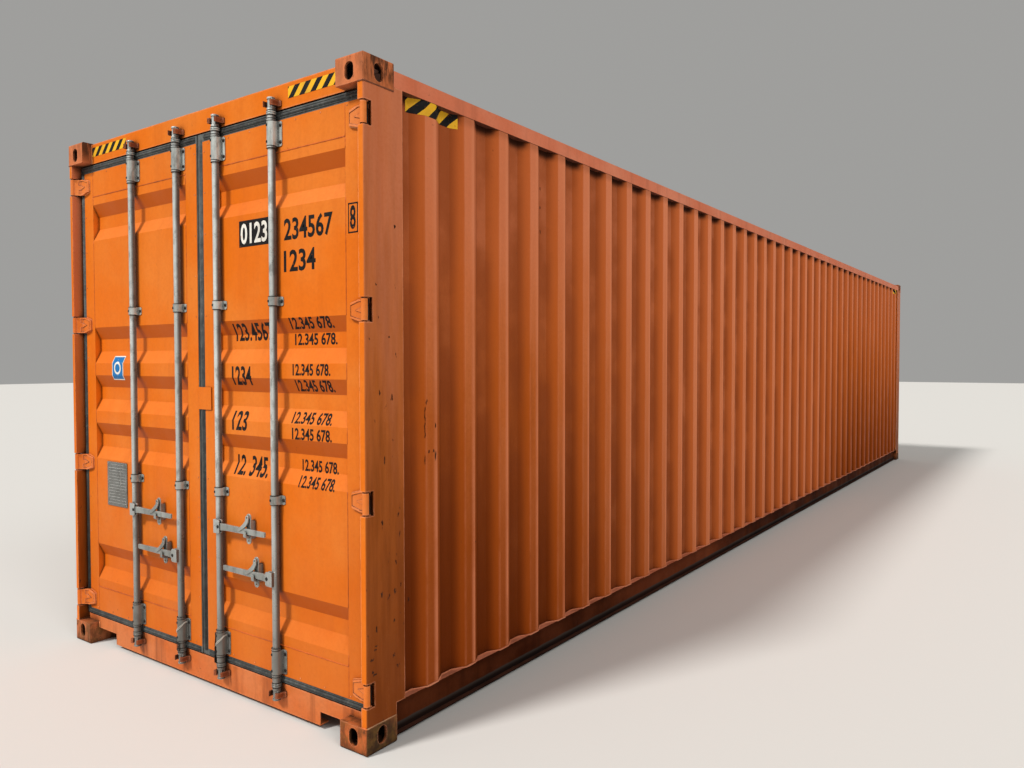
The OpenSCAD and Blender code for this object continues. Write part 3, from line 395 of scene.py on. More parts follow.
# Materials
def paint(name, tones, rough=0.5, chips=0.5, streak=0.4, edge=0.3, scars=0.0, ripple=0.0,
          shine=0.32, under=(), over=()):
    """Weathered paint, with more layers under or over its streaks, and chips down to rust."""
    g = Graph(name)
    base, deep, pale = tones
    g.color = g.mix(g.ramp(g.noise(1.7, 5, 0.6), 0.35, 0.68), base, pale)
    for layer, *values in under:
        layer(g, *values)
    streaks = g.noise(9, 5, 0.6, g.scaled((1, 1, 0.07)))
    g.coat(g.times(g.ramp(streaks, 0.48, 0.75), streak), deep)
    g.coat(g.times(g.ramp(g.noise(60, 4, 0.6), 0.35, 0.75), 0.16), deep)
    for layer, *values in over:
        layer(g, *values)
    flecks, patches = g.noise(38, 7, 0.62), g.ramp(g.noise(2.3, 3), 0.42, 0.6)
    more = 0.03 * chips
    bare = g.times(g.ramp(flecks, 0.735 - more, 0.755 - more), patches)
    if scars:
        nicks = g.noise(46, 5, 0.55, g.scaled((1.0, 1.0, 0.42), (3.1, 1.7, 0.4)))
        nicks = g.ramp(nicks, 0.715 - 0.04 * scars, 0.725 - 0.04 * scars)
        bare = g.larger(bare, g.times(nicks, g.times(g.sideways(), g.ramp(g.axis(2), 1.7, 2.2, 1.0, 0.0))))
    if edge:
        worn = g.ramp(g.noise(26, 6, 0.65), 0.62 - 0.2 * edge, 0.68 - 0.2 * edge)
        bare = g.larger(bare, g.times(g.edges(0.004), worn))
    g.coat(g.times(g.ramp(flecks, 0.66 - more, 0.74 - more), patches, 0.35), RUST)
    g.coat(bare, g.mix(g.ramp(g.noise(90, 4), 0.4, 0.65), RUST, RUST_DARK))
    matt = g.larger(g.ramp(g.noise(7, 5), 0.3, 0.7, rough - 0.06, rough + 0.12), g.times(bare, 0.85))
    height = g.plus(g.times(g.noise(140, 3), 0.12), g.times(bare, -0.6))
    normal = g.bump(height, 0.35, 0.0012, g.bevel(0.002))
    if ripple:
        normal = g.bump(g.noise(2.2, 2, 0.4, g.scaled((1.6, 1.6, 1.0))), ripple, 0.02, normal)
    return g.surface(matt, normal, Specular_IOR_Level=shine)


def zinc(name, base, dark, rusty, rough, side_shade=0.0):
    """Galvanised steel, with dirt low down, painted shade in its corners and on one side, and painted
    highlights on its edges.
    """
    g = Graph(name)
    g.color = g.mix(g.ramp(g.noise(7, 5, 0.6, g.scaled((1, 1, 0.25))), 0.3, 0.7), base, dark)
    g.coat(g.times(g.ramp(g.cells(95), 0.2, 0.6), 0.16), rgb(190, 190, 182))
    g.coat(g.times(g.ramp(g.noise(24, 7, 0.65, g.scaled((1, 1, 0.45))), 0.5, 0.66), 0.5), rgb(78, 74, 66))
    # Painted shade on the side whose faces look towards -y.
    if side_shade:
        turned = g.plus(g.facing(1), g.times(g.noise(5, 4), 0.3))
        g.coat(g.ramp(turned, -0.90, -0.40, side_shade, 0.0), rgb(70, 64, 60))
    # Painted shade in the corners.
    g.coat(g.times(g.corners(0.020), 0.95), rgb(18, 16, 14))
    soot = g.ramp(g.minus(g.axis(2), g.times(g.noise(6, 4), 0.5)), -0.2, 1.5, 1.0, 0.0)
    g.coat(g.times(soot, 0.8), rgb(92, 90, 84))
    # Painted highlights on the edges, in patches.
    glint = g.times(g.edges(0.0025, 0.03, 0.25), g.ramp(g.noise(30, 5), 0.3, 0.6, 0.3, 0.9))
    g.coat(glint, rgb(232, 232, 226))
    g.coat(g.times(g.ramp(g.noise(55, 7, 0.65), 0.64, 0.70), rusty), rgb(122, 74, 44))
    return g.surface(g.ramp(g.noise(30, 5), 0.3, 0.7, rough - 0.08, rough + 0.16),
                     g.bump(g.noise(160, 4), 0.25, 0.0008, g.bevel(0.0018)), Metallic=0.4)


def rubber(name, base, dusty):
    g = Graph(name)
    g.color = g.mix(g.ramp(g.noise(14, 6, 0.65), 0.35, 0.72), base, dusty)
    g.coat(g.times(g.ramp(g.noise(70, 5), 0.55, 0.7), 0.4), rgb(118, 116, 106))
    return g.surface(g.ramp(g.noise(20, 4), 0.3, 0.7, 0.55, 0.8),
                     g.bump(g.noise(110, 4), 0.3, 0.001, g.bevel(0.003)))


def plywood(name):
    g = Graph(name)
    grain = g.noise(3, 8, 0.62, g.scaled((0.9, 14, 14)), 0.6)
    g.color = g.mix(g.ramp(grain, 0.3, 0.7), rgb(134, 96, 62), rgb(92, 62, 40))
    g.coat(g.times(g.ramp(g.noise(2.1, 5), 0.42, 0.7), 0.5), rgb(70, 56, 44))
    scuffs = g.ramp(g.noise(16, 7, 0.7, g.scaled((0.35, 1, 1))), 0.56, 0.66)
    g.coat(g.times(scuffs, 0.4), rgb(150, 128, 100))
    return g.surface(g.ramp(grain, 0.3, 0.7, 0.62, 0.8), g.bump(grain, 0.35, 0.0015))


def flat_paint(name, base, worn, rough, wear=0.0, through=None):
    """Thin paint or bare metal, with specks of what lies under it where one is given."""
    g = Graph(name)
    g.color = g.mix(g.ramp(g.noise(12, 5), 0.4, 0.75), base, worn)
    if through is not None:
        g.coat(g.ramp(g.noise(75, 6, 0.7), 0.68 - 0.08 * wear, 0.70 - 0.08 * wear), through)
    return g.surface(g.ramp(g.noise(30, 4), 0.3, 0.7, rough - 0.05, rough + 0.12),
                     g.bump(g.noise(120, 3), 0.2, 0.0006), Specular_IOR_Level=0.2)


# Looks by name
LOOKS = {
    "door": paint("door_paint", DOOR_TONES, 0.46, chips=0.1, streak=0.2, edge=0.15, ripple=0.10,
                  shine=0.15, under=[(slope_shade_and_highlight, 0.9), (low_shade, 0.4)],
                  over=[(corner_shade, 0.85, 0.020)]),
    "door_gear": paint("hinge_paint", (rgb(212, 108, 34), ORANGE_DEEP, rgb(220, 128, 66)), 0.48,
                       chips=0.9, streak=0.5, edge=0.7, shine=0.15,
                       over=[(edge_highlights, 0.8), (corner_shade, 0.95, 0.024)]),
    "frame": paint("frame_paint", DOOR_TONES, 0.48, chips=0.7, streak=0.3, edge=0.45, scars=1.0,
                   shine=0.08, under=[(post_tone,)],
                   over=[(low_dirt_and_shade, 0.7, rgb(92, 34, 0), 1.0), (dust, 0.3), (edge_highlights, 0.75),
                         (corner_shade, 0.95, 0.045)]),
    "sill": paint("sill_paint", (rgb(196, 96, 36), rgb(112, 54, 26), rgb(200, 116, 66)),
                  chips=0.9, streak=0.85, edge=0.6, shine=0.15,
                  over=[(dust, 0.2), (edge_highlights, 0.5), (corner_shade, 0.9, 0.03)]),
    "side": paint("wall_paint", WALL_TONES, 0.55, chips=0.15, streak=0.45, edge=0.0, ripple=0.14,
                  shine=0.03,
                  over=[(wall_fade_and_painted_light,), (ridge_highlights,), (rail_shadow,), (corner_shade, 0.97, 0.085)]),
    "toprail": paint("top_rail_paint", (rgb(208, 110, 72), rgb(156, 80, 50), rgb(218, 130, 96)), 0.55,
                     edge=0.25, under=[(belly_shade, 0.9)], over=[(dust, 0.3)]),
    "foot": paint("foot_weld", (rgb(186, 104, 68), rgb(128, 66, 40), rgb(206, 128, 92)), 0.55,
                  chips=0.6, streak=0.2, edge=0.0),
    # Rail: its near black-brown paint is painted shade, the pink on its faces that look up is dust and a
    # painted highlight, and a painted shadow runs along its foot.
    "rail": paint("rail_paint", (rgb(50, 16, 2), rgb(34, 11, 2), rgb(86, 40, 18)), 0.65, shine=0.03,
                  over=[(dust, 0.9, rgb(214, 132, 100)), (pale_stretch,), (foot_shadow, 0.9)]),
    "roof": paint("roof_paint", (rgb(186, 92, 42), rgb(132, 72, 42), rgb(194, 122, 80)),
                  chips=0.7, streak=0.3, edge=0.2, over=[(dust, 0.45)]),
    "casting": paint("casting_paint", (rgb(200, 102, 50), rgb(116, 66, 38), rgb(196, 116, 74)), 0.6,
                     chips=2.2, streak=0.9, edge=1.0, shine=0.12,
                     over=[(ground_dirt_and_shade, 0.95), (edge_highlights, 0.5), (top_soot, 0.9), (cavity_shade,),
                           (corner_shade, 0.95, 0.07)]),
    "under": paint("underframe_paint", (rgb(96, 50, 34), rgb(60, 40, 32), rgb(110, 70, 48)), 0.6,
                   chips=1.2, streak=0.5, edge=0.5),
    "keeper": paint("keeper_paint", (rgb(92, 44, 24), rgb(24, 18, 16), rgb(160, 82, 44)),
                    chips=3.2, streak=1.0, edge=0.9, shine=0.15,
                    over=[(edge_highlights, 0.45), (corner_shade, 0.97, 0.045)]),
    "weld": paint("weld_paint", (rgb(214, 104, 40), rgb(140, 78, 44), rgb(222, 150, 96)),
                  chips=1.0, streak=0.3, edge=0.0),
    "seam": paint("seam_paint", (rgb(166, 72, 18), rgb(92, 46, 22), rgb(206, 98, 30)),
                  chips=1.6, streak=0.6, edge=0.0),
    "weld_pale": paint("weld_pale", (rgb(224, 144, 108), rgb(160, 88, 56), rgb(232, 168, 136)),
                       chips=0.6, streak=0.3, edge=0.0),
    "weld_dark": paint("weld_dark", (rgb(96, 50, 28), rgb(48, 30, 22), rgb(150, 84, 50)), 0.6,
                       chips=1.6, streak=0.6, edge=0.0),
    "weld_bare": flat_paint("weld_bare", rgb(190, 150, 112), rgb(128, 84, 52), 0.55, 0.9, RUST),
    "zinc": zinc("galvanised", rgb(226, 231, 228), rgb(186, 192, 189), 0.2, 0.32, 0.9),
    "bracket": zinc("galvanised_bracket", rgb(202, 209, 205), rgb(138, 144, 141), 0.3, 0.38),
    "plate": zinc("plate_metal", rgb(120, 122, 120), rgb(92, 94, 94), 0.2, 0.45),
    "bolt": flat_paint("bolt_dark", rgb(34, 31, 29), rgb(22, 20, 19), 0.5, 0.4, rgb(84, 56, 40)),
    "wire": flat_paint("seal_wire", rgb(206, 203, 192), rgb(150, 146, 136), 0.35),
    "rubber": rubber("seal_rubber", rgb(64, 68, 68), rgb(96, 99, 95)),
    "lip": rubber("lip_rubber", rgb(40, 43, 43), rgb(70, 74, 72)),
    "wood": plywood("floor_plywood"),
    "black": flat_paint("mark_black", rgb(14, 13, 14), rgb(26, 24, 24), 0.7, 0.3, ORANGE),
    "yellow": flat_paint("stripe_yellow", rgb(232, 176, 30), rgb(206, 150, 40), 0.5, 0.4, ORANGE_DEEP),
    "white": flat_paint("mark_white", rgb(226, 222, 212), rgb(196, 190, 178), 0.5, 0.4, ORANGE),
    "blue": flat_paint("decal_blue", rgb(16, 104, 168), rgb(30, 116, 172), 0.5, 0.2, rgb(190, 200, 208)),
    "scrape": flat_paint("scrape_dark", rgb(50, 32, 20), rgb(28, 19, 13), 0.6, 0.2, SIDE_DEEP),
}

# Looks of the CAD nodes, by the first of these words that a node's name holds
NODE_LOOKS = (
    ("castings", "casting"), ("keepers", "keeper"), ("hinge", "door_gear"), ("door_sill", "sill"),
    ("front_sill", "frame"), ("post", "frame"), ("header", "frame"), ("wall", "side"),
    ("top_rail", "toprail"), ("bottom_rail", "rail"), ("roof", "roof"), ("floor", "wood"),
    ("members", "under"), ("tunnel", "under"), ("gasket", "rubber"), ("lock_rod", "zinc"),
    ("handle", "bracket"), ("brackets", "bracket"), ("", "door"),
)

for name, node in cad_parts.items():
    material = LOOKS[next(look for word, look in NODE_LOOKS if word in name)]
    if not node.material_slots:
        node.data.materials.append(material)
    for slot in node.material_slots:
        slot.material = material


# Mesh helpers
def piece(name, bm, look, body, smooth=False):
    """Turns a finished bmesh into a named piece that rides on a body."""
    mesh = bpy.data.meshes.new(name)
    bm.normal_update()
    bm.to_mesh(mesh)
    bm.free()
    obj = bpy.data.objects.new(name, mesh)
    bpy.context.collection.objects.link(obj)
    mesh.materials.append(LOOKS[look])
    for face in mesh.polygons:
        face.use_smooth = smooth
    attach(obj, body)


def pour(bm, target):
    """Adds one bmesh to another and frees it."""
    mesh = bpy.data.meshes.new("part")
    bm.to_mesh(mesh)
    bm.free()
    target.from_mesh(mesh)
    bpy.data.meshes.remove(mesh)


def turns(count):
    return [2 * math.pi * k / count for k in range(count)]


def add_box(bm, low, high):
    xs, ys, zs = [sorted(pair) for pair in zip(low, high)]
    verts = [bm.verts.new((x, y, z)) for x in xs for y in ys for z in zs]
    for face in ((0, 1, 3, 2), (4, 6, 7, 5), (0, 4, 5, 1), (2, 3, 7, 6), (0, 2, 6, 4), (1, 5, 7, 3)):
        bm.faces.new([verts[i] for i in face])


def add_loop(bm, middle, side, other, radius, count):
    return [bm.verts.new(middle + (side * math.cos(t) + other * math.sin(t)) * radius)
            for t in turns(count)]


def add_skin(bm, loops, closed=False):
    """Joins loops of vertices into a tube, with a cap at each end unless it is closed."""
    count = len(loops[0])
    for a, b in zip(loops, loops[1:] + loops[:1] if closed else loops[1:]):
        for k in range(count):
            bm.faces.new((a[k], a[(k + 1) % count], b[(k + 1) % count], b[k]))
    if not closed:
        bm.faces.new(loops[-1])
        bm.faces.new(list(reversed(loops[0])))


def add_dome(bm, at, axis, radius, height, count=14, rings=3):
    axis = Vector(axis).normalized()
    side = axis.orthogonal().normalized()
    loops = [add_loop(bm, Vector(at), side, axis.cross(side), radius, count)]
    for i in range(rings):
        t = math.pi / 2 * i / rings
        middle = Vector(at) + axis * (height * (0.25 + 0.75 * math.sin(t)))
        loops.append(add_loop(bm, middle, side, axis.cross(side), radius * math.cos(t), count))
    add_skin(bm, loops)


def add_tube(bm, points, radius, count=8, closed=False, wobble=0.0):
    """A tube along points. Its radius varies by the share that wobble gives."""
    points = [Vector(p) for p in points]
    last = len(points) - 1
    normal = None
    rings = []
    for i, point in enumerate(points):
        before = points[i - 1] if closed or i > 0 else points[0]
        after = points[(i + 1) % len(points)] if closed or i < last else points[last]
        along = (after - before).normalized()
        if normal is None:
            normal = along.orthogonal().normalized()
        normal = (normal - along * normal.dot(along)).normalized()
        rings.append((point, normal, along.cross(normal)))
    loops = []
    for point, side, other in rings:
        loops.append(add_loop(bm, point, side, other, radius * (1 + wobble * (rng.random() - 0.5)), count))
    add_skin(bm, loops, closed)


def add_ring(bm, middle, radius, tube, count=28):
    x, y, z = middle
    points = [(x + radius * math.cos(t), y + radius * math.sin(t), z) for t in turns(count)]
    add_tube(bm, points, tube, 6, closed=True)


WELD_STEP, WELD_WANDER = 0.012, 0.0008


def weld(bm, start, end, radius):
    """A weld bead between two points, with a line and a radius that vary a little."""
    start, end = Vector(start), Vector(end)
    steps = max(2, int((end - start).length / WELD_STEP))
    path = []
    for i in range(steps + 1):
        wander = Vector([(rng.random() - 0.5) * WELD_WANDER for _ in range(3)])
        path.append(start.lerp(end, i / steps) + wander)
    add_tube(bm, path, radius, 6, wobble=0.35)


def cut_at(bm, axis, values):
    """Cuts flat faces where the surface under them folds, so that they can follow it."""
    for value in values:
        point, normal = [0, 0, 0], [0, 0, 0]
        point[axis], normal[axis] = value, 1
        bmesh.ops.bisect_plane(bm, geom=bm.verts[:] + bm.edges[:] + bm.faces[:],
                               plane_co=point, plane_no=normal)


# Door surface
def panel_depth(z):
    """How far a leaf's panel lies behind the leaf's face, at a height."""
    depth = 0.0
    for middle in RECESS_Z:
        down = (RECESS_HALF - abs(z - middle)) / (RECESS_HALF - RECESS_FLAT)
        depth = max(depth, RECESS_DEEP * max(0.0, min(1.0, down)))
    return depth


def on_door(target, bm, y0, y1, z0, z1, proud):
    """Lays a flat outline on a leaf, over y0 to y1 as seen from outside and z0 to z1."""
    for v in bm.verts:
        v.co = Vector((0, (y0 + y1) / 2 - v.co.x, (z0 + z1) / 2 + v.co.y))
    cut_at(bm, 2, [z for z in FOLD_Z if z0 < z < z1])
    for v in bm.verts:
        inside = PANEL_Y[0] < abs(v.co.y) < PANEL_Y[1]
        v.co.x = FACE_X + (panel_depth(v.co.z) if inside else 0.0) - proud
    pour(bm, target)


def on_door_rect(target, y0, y1, z0, z1, proud=PROUD):
    w, h = abs(y1 - y0), abs(z1 - z0)
    bm = bmesh.new()
    corners = ((-w / 2, -h / 2), (w / 2, -h / 2), (w / 2, h / 2), (-w / 2, h / 2))
    bm.faces.new([bm.verts.new((x, y, 0)) for x, y in corners])
    on_door(target, bm, y0, y1, z0, z1, proud)


def on_door_digits(target, text, y0, y1, z0, z1, proud=PROUD):
    """Plain digits as a flat outline that fills the rectangle."""
    curve = bpy.data.curves.new("digits", "FONT")
    curve.body = text
    curve.offset = 0.022
    curve.resolution_u = 3
    writing = bpy.data.objects.new("digits", curve)
    bpy.context.collection.objects.link(writing)
    bpy.context.view_layer.update()
    mesh = bpy.data.meshes.new_from_object(writing.evaluated_get(bpy.context.evaluated_depsgraph_get()))
    bpy.data.objects.remove(writing)
    xs = [v.co.x for v in mesh.vertices]
    ys = [v.co.y for v in mesh.vertices]
    for v in mesh.vertices:
        v.co.x = ((v.co.x - min(xs)) / (max(xs) - min(xs)) - 0.5) * abs(y1 - y0)
        v.co.y = ((v.co.y - min(ys)) / (max(ys) - min(ys)) - 0.5) * abs(z1 - z0)
    bm = bmesh.new()
    bm.from_mesh(mesh)
    bpy.data.meshes.remove(mesh)
    on_door(target, bm, y0, y1, z0, z1, proud)


# Plain digits on the right leaf, each in its rectangle on the door
marks = bmesh.new()
on_door_digits(marks, "234567", -0.649, -0.972, 2.186, 2.286)
on_door_digits(marks, "8", -1.079, -1.113, 2.196, 2.296)
on_door_digits(marks, "1234", -0.646, -0.861, 2.044, 2.142)
for text, y0, y1, z0, z1, small_y0, small_y1 in (
    ("123.4567", -0.244, -0.530, 1.738, 1.824, -0.672, -0.956),
    ("1234", -0.249, -0.398, 1.526, 1.618, -0.700, -0.950),
    ("123", -0.246, -0.362, 1.308, 1.402, -0.684, -0.950),
    ("12. 345.", -0.246, -0.498, 1.092, 1.188, -0.724, -0.964),
):
    on_door_digits(marks, text, y0, y1, z0, z1)
    mid = (z0 + z1) / 2 - 0.006
    on_door_digits(marks, "12.345 678.", small_y0, small_y1, mid + 0.010, mid + 0.064)
    on_door_digits(marks, "12.345 678.", small_y0 - 0.008, small_y1 - 0.006, mid - 0.062, mid - 0.008)

# Frame round the single digit
BOX_Y, BOX_Z = (-1.068, -1.127), (2.180, 2.307)
BOX_SIDE, BOX_RUN = 0.005, 0.006
on_door_rect(marks, BOX_Y[0], BOX_Y[0] - BOX_SIDE, *BOX_Z)
on_door_rect(marks, BOX_Y[1] + BOX_SIDE, BOX_Y[1], *BOX_Z)
on_door_rect(marks, *BOX_Y, BOX_Z[0], BOX_Z[0] + BOX_RUN)
on_door_rect(marks, *BOX_Y, BOX_Z[1] - BOX_RUN, BOX_Z[1])

# Dark block with light digits
block = bmesh.new()
on_door_rect(block, -0.318, -0.541, 2.183, 2.307)
piece("mark_block", block, "black", "right_door")
block_digits = bmesh.new()
on_door_digits(block_digits, "0123", -0.331, -0.529, 2.196, 2.294, 2 * PROUD)
piece("mark_block_digits", block_digits, "white", "right_door")
piece("marks_right_door", marks, "black", "right_door")


# Hazard stripes
def add_stripes(name, tag, w, h, count, lean, place):
    """Slanting bands clipped to a rectangle from the origin, which place then lays on a face."""
    pitch = w / count
    for shade, look, shift in (("dark", "black", 0.0), ("light", "yellow", 0.5)):
        bands = bmesh.new()
        k = -4
        while k * pitch < w + h:
            x0 = (k + shift) * pitch
            x1 = x0 + pitch / 2
            band = bmesh.new()
            outline = ((x0, 0), (x1, 0), (x1 + lean * h, h), (x0 + lean * h, h))
            band.faces.new([band.verts.new((x, y, 0)) for x, y in outline])
            for x, way in ((0, -1), (w, 1)):
                bmesh.ops.bisect_plane(band, geom=band.verts[:] + band.edges[:] + band.faces[:],
                                       plane_co=(x, 0, 0), plane_no=(way, 0, 0), clear_outer=True)
            pour(band, bands)
            k += 1
        place(bands)
        piece(f"{name}_stripes_{shade}_{tag}", bands, look, "container")


def on_header(y0, way):
    def place(bm):
        for v in bm.verts:
            v.co = Vector((FACE_X - PROUD, y0 + way * v.co.x, 2.818 + v.co.y))
        if way > 0:
            bmesh.ops.reverse_faces(bm, faces=bm.faces[:])
    return place


for tag, way in (("right", -1), ("left", 1)):
    add_stripes("header", tag, 0.371, 0.052, 5, -0.9 * way, on_header(way * 0.686, way))


# Side wall surface
def wall_depth(x):
    """How far a side wall lies behind its ridges, at a place along its length."""
    nearest = min(RIDGE_COUNT - 1, max(0, round((x - RIDGE_FIRST) / RIDGE_STEP)))
    down = (abs(x - RIDGE_FIRST - nearest * RIDGE_STEP) - RIDGE_FLAT) / RIDGE_SLOPE
    return WALL_DEEP * max(0.0, min(1.0, down))


def wall_folds(start, end):
    middles = [RIDGE_FIRST + i * RIDGE_STEP for i in range(RIDGE_COUNT)]
    folds = [middle + fold for middle in middles for fold in RIDGE_FOLDS]
    return [x for x in folds if start < x < end]


def on_wall(x0, way, side):
    def place(bm):
        for v in bm.verts:
            v.co = Vector((x0 + way * v.co.x, 0, 2.7285 + v.co.y))
        xs = [v.co.x for v in bm.verts]
        cut_at(bm, 0, wall_folds(min(xs), max(xs)))
        for v in bm.verts:
            v.co.y = side * (WALL_Y - wall_depth(v.co.x) + PROUD)
    return place


for side, tag in ((-1, "right"), (1, "left")):
    for way, end in ((1, "door"), (-1, "front")):
        add_stripes("wall", f"{tag}_{end}", 0.335, 0.066, 3, 1.1, on_wall(way * -5.806, way, side))

# Decal on the left leaf: a blue field with a white rim and ring
decal = bmesh.new()
on_door_rect(decal, 0.863, 0.757, 1.543, 1.666, 2 * PROUD)
piece("decal", decal, "blue", "left_door")
rim = bmesh.new()
on_door_rect(rim, 0.869, 0.751, 1.537, 1.672)
piece("decal_rim", rim, "white", "left_door")
ring = bmesh.new()
RING_MIDDLE, RING_COUNT = Vector((0, 0.810, 1.604)), 40
outer, inner = [add_loop(ring, RING_MIDDLE, Vector((0, 1, 0)), Vector((0, 0, 1)), radius, RING_COUNT)
                for radius in (0.036, 0.024)]
for k in range(RING_COUNT):
    after = (k + 1) % RING_COUNT
    ring.faces.new((outer[k], inner[k], inner[after], outer[after]))
cut_at(ring, 2, [z for z in FOLD_Z if 1.55 < z < 1.66])
for v in ring.verts:
    v.co.x = FACE_X + panel_depth(v.co.z) - 3 * PROUD
piece("decal_ring", ring, "white", "left_door")

# Data plate: blank, with ruled lines and a rivet in each corner
PLATE_BACK = FACE_X - 0.001
PLATE_FRONT = FACE_X - 0.004
RULE_BACK, RULE_FRONT = PLATE_FRONT + 0.0001, PLATE_FRONT - 0.0012
RULE_Y = (0.736, 0.917)
RULE_Z, RULE_STEP, RULE_COUNT, RULE_WIDE = 0.838, 0.0165, 13, 0.0022
plate = bmesh.new()
add_box(plate, (PLATE_FRONT, 0.722, 0.821), (PLATE_BACK, 0.931, 1.070))
for z in [RULE_Z + RULE_STEP * i for i in range(RULE_COUNT)]:
    add_box(plate, (RULE_FRONT, RULE_Y[0], z), (RULE_BACK, RULE_Y[1], z + RULE_WIDE))
for y in (RULE_Y[0], 0.790, RULE_Y[1]):
    add_box(plate, (RULE_FRONT, y - RULE_WIDE / 2, RULE_Z),
            (RULE_BACK, y + RULE_WIDE / 2, RULE_Z + RULE_STEP * (RULE_COUNT - 1) + RULE_WIDE))
add_box(plate, (RULE_FRONT, 0.760, 1.047), (RULE_BACK, 0.893, 1.056))
for y in (0.730, 0.923):
    for z in (0.829, 1.062):
        add_dome(plate, (RULE_BACK, y, z), (-1, 0, 0), 0.004, 0.003, 10)
piece("data_plate", plate, "plate", "left_door")

# Bolts of the rod brackets, on their flanges and on the left of their girth, and dark rings at their ends for
# grime and painted shade in the gaps there
for i, y in enumerate(ROD_Y):
    bolts = bmesh.new()
    for z0, z1 in BRACKETS:
        is_long = z1 - z0 > LONG_BRACKET
        for z in (z0 + 0.018, z1 - 0.018) if is_long else ((z0 + z1) / 2,):
            for side in (-1, 1):
                add_dome(bolts, (FACE_X - 0.004, y + side * 0.0375, z), (-1, 0, 0), 0.0080, 0.0056)
            add_dome(bolts, (ROD_X - 0.0208, y + 0.0080, z), (-0.93, 0.36, 0), 0.0062, 0.0034)
        # Dark rings: grime and painted shade in the gaps at the bracket ends.
        for z in (z0, z1, z0 - 0.0105, z1 + 0.0105) if is_long else (z0, z1):
            add_ring(bolts, (ROD_X, y, z), 0.0216, 0.0014)
    piece(f"bracket_rivets_{i + 1}", bolts, "bolt", ROD_LEAF[i], True)

# Rings on the necks between the outer brackets and the cams: thin dark ones, which are painted shade in the
# grooves, and thick bright ones
for i, y in enumerate(ROD_Y):
    for look, heights, radius, tube in (("bolt", (0.1370, 0.1600, 2.7730, 2.7505), 0.0200, 0.0015),
                                        ("bracket", (0.1440, 0.1530, 2.7660, 2.7575), 0.0190, 0.0040)):
        rings = bmesh.new()
        for z in heights:
            add_ring(rings, (ROD_X, y, z), radius, tube)
        piece(f"neck_rings_{look}_{i + 1}", rings, look, f"rod_{i + 1}", True)

# Heads of the pins that the handles pivot on
for i, y in enumerate(ROD_Y):
    heads = bmesh.new()
    at = (DOOR_X + 0.002, y + HANDLE_WAY[i] * 0.028, HANDLE_Z[i])
    add_dome(heads, at, (-1, 0, 0), 0.0085, 0.0035, 16, 4)
    piece(f"pivot_head_{i + 1}", heads, "bolt", f"grip_{i + 1}", True)


# Seams and rivets of the leaves
def add_leaf_seams(side, body):
    """Seams between the panel and the frame, broken where the recesses are."""
    seams = bmesh.new()
    x = FACE_X + 0.0008
    for z in PANEL_Z:
        weld(seams, (x, side * (PANEL_Y[0] + 0.001), z), (x, side * (PANEL_Y[1] - 0.001), z), 0.0030)
    for y in PANEL_Y:
        heights = [PANEL_Z[0]] + FOLD_Z + [PANEL_Z[1]]
        for z0, z1 in zip(heights[0::4], heights[1::4]):
            weld(seams, (x, side * y, z0), (x, side * y, z1), 0.0022)
        for z0, z1 in ((DOOR_Z[0] + 0.004, PANEL_Z[0]), (PANEL_Z[1], DOOR_Z[1] - 0.004)):
            weld(seams, (x, side * y, z0), (x, side * y, z1), 0.0020)
    piece(f"leaf_seams_{body}", seams, "seam", body, True)


def add_seal_rivets(side, body):
    """Rivets of the seal strips, left out behind the centre tab and the rods."""
    rivets = bmesh.new()
    places = []
    for k in range(13):
        z = DOOR_Z[0] + 0.05 + k * (DOOR_Z[1] - DOOR_Z[0] - 0.1) / 12
        places.append((1.134, z))
        if k not in (6, 7):
            places.append((0.042, z))
    for y in [0.075 + k * 0.165 for k in range(7)]:
        if min(abs(y - rod_y) for rod_y in ROD_Y) > 0.055:
            places += [(y, DOOR_Z[0] + 0.014), (y, DOOR_Z[1] - 0.014)]
    for y, z in places:
        add_dome(rivets, (FACE_X, side * y, z), (-1, 0, 0), 0.0038, 0.0022, 10, 2)
    piece(f"seal_rivets_{body}", rivets, "door_gear", body, True)


def add_hinge_beads(side, body):
    beads = bmesh.new()
    x, near, far = FACE_X - 0.0008, side * (SIDE_Y - 0.076), side * (SIDE_Y - 0.1345)
    for z in HINGE_Z:
        weld(beads, (x, near, z + 0.0455), (x, far, z + 0.0305), 0.003)
        weld(beads, (x, near, z - 0.0455), (x, far, z - 0.0305), 0.003)
        weld(beads, (x, far, z - 0.030), (x, far, z + 0.030), 0.003)
    piece(f"hinge_beads_{body}", beads, "weld", body, True)


for side, body in LEAVES:
    add_leaf_seams(side, body)
    add_seal_rivets(side, body)
    add_hinge_beads(side, body)


# Seal wires on the lowest brackets of the two inner rods
def add_seal_wire(i):
    """A wire tied slantwise round the bracket in two turns. The left one has a loose loop too."""
    y = ROD_Y[i]
    wire = bmesh.new()
    steps, radius = 14, 0.0238
    path = [(FACE_X - 0.006, y + 0.027, 0.228)]
    for k in range(steps + 1):
        t = math.pi * k / steps
        path.append((ROD_X - radius * math.sin(t), y + radius * math.cos(t), 0.232 + 0.062 * k / steps))
    path.append((FACE_X - 0.006, y - 0.027, 0.298))
    add_tube(wire, path, 0.0017, 7)
    sag = [0.0036 + 0.004 * math.sin(3.1 * k / len(path)) for k in range(len(path))]
    add_tube(wire, [(x - 0.001, py, z - drop) for (x, py, z), drop in zip(path, sag)], 0.0017, 7)
    if i == 1:
        add_tube(wire, [(FACE_X - out, y + aside, z) for out, aside, z in (
            (0.008, 0.030, 0.232), (0.017, 0.041, 0.214), (0.018, 0.046, 0.192),
            (0.016, 0.038, 0.174), (0.012, 0.030, 0.190), (0.008, 0.028, 0.222))], 0.0018, 7)
    piece(f"seal_wire_{i + 1}", wire, "wire", ROD_LEAF[i], True)


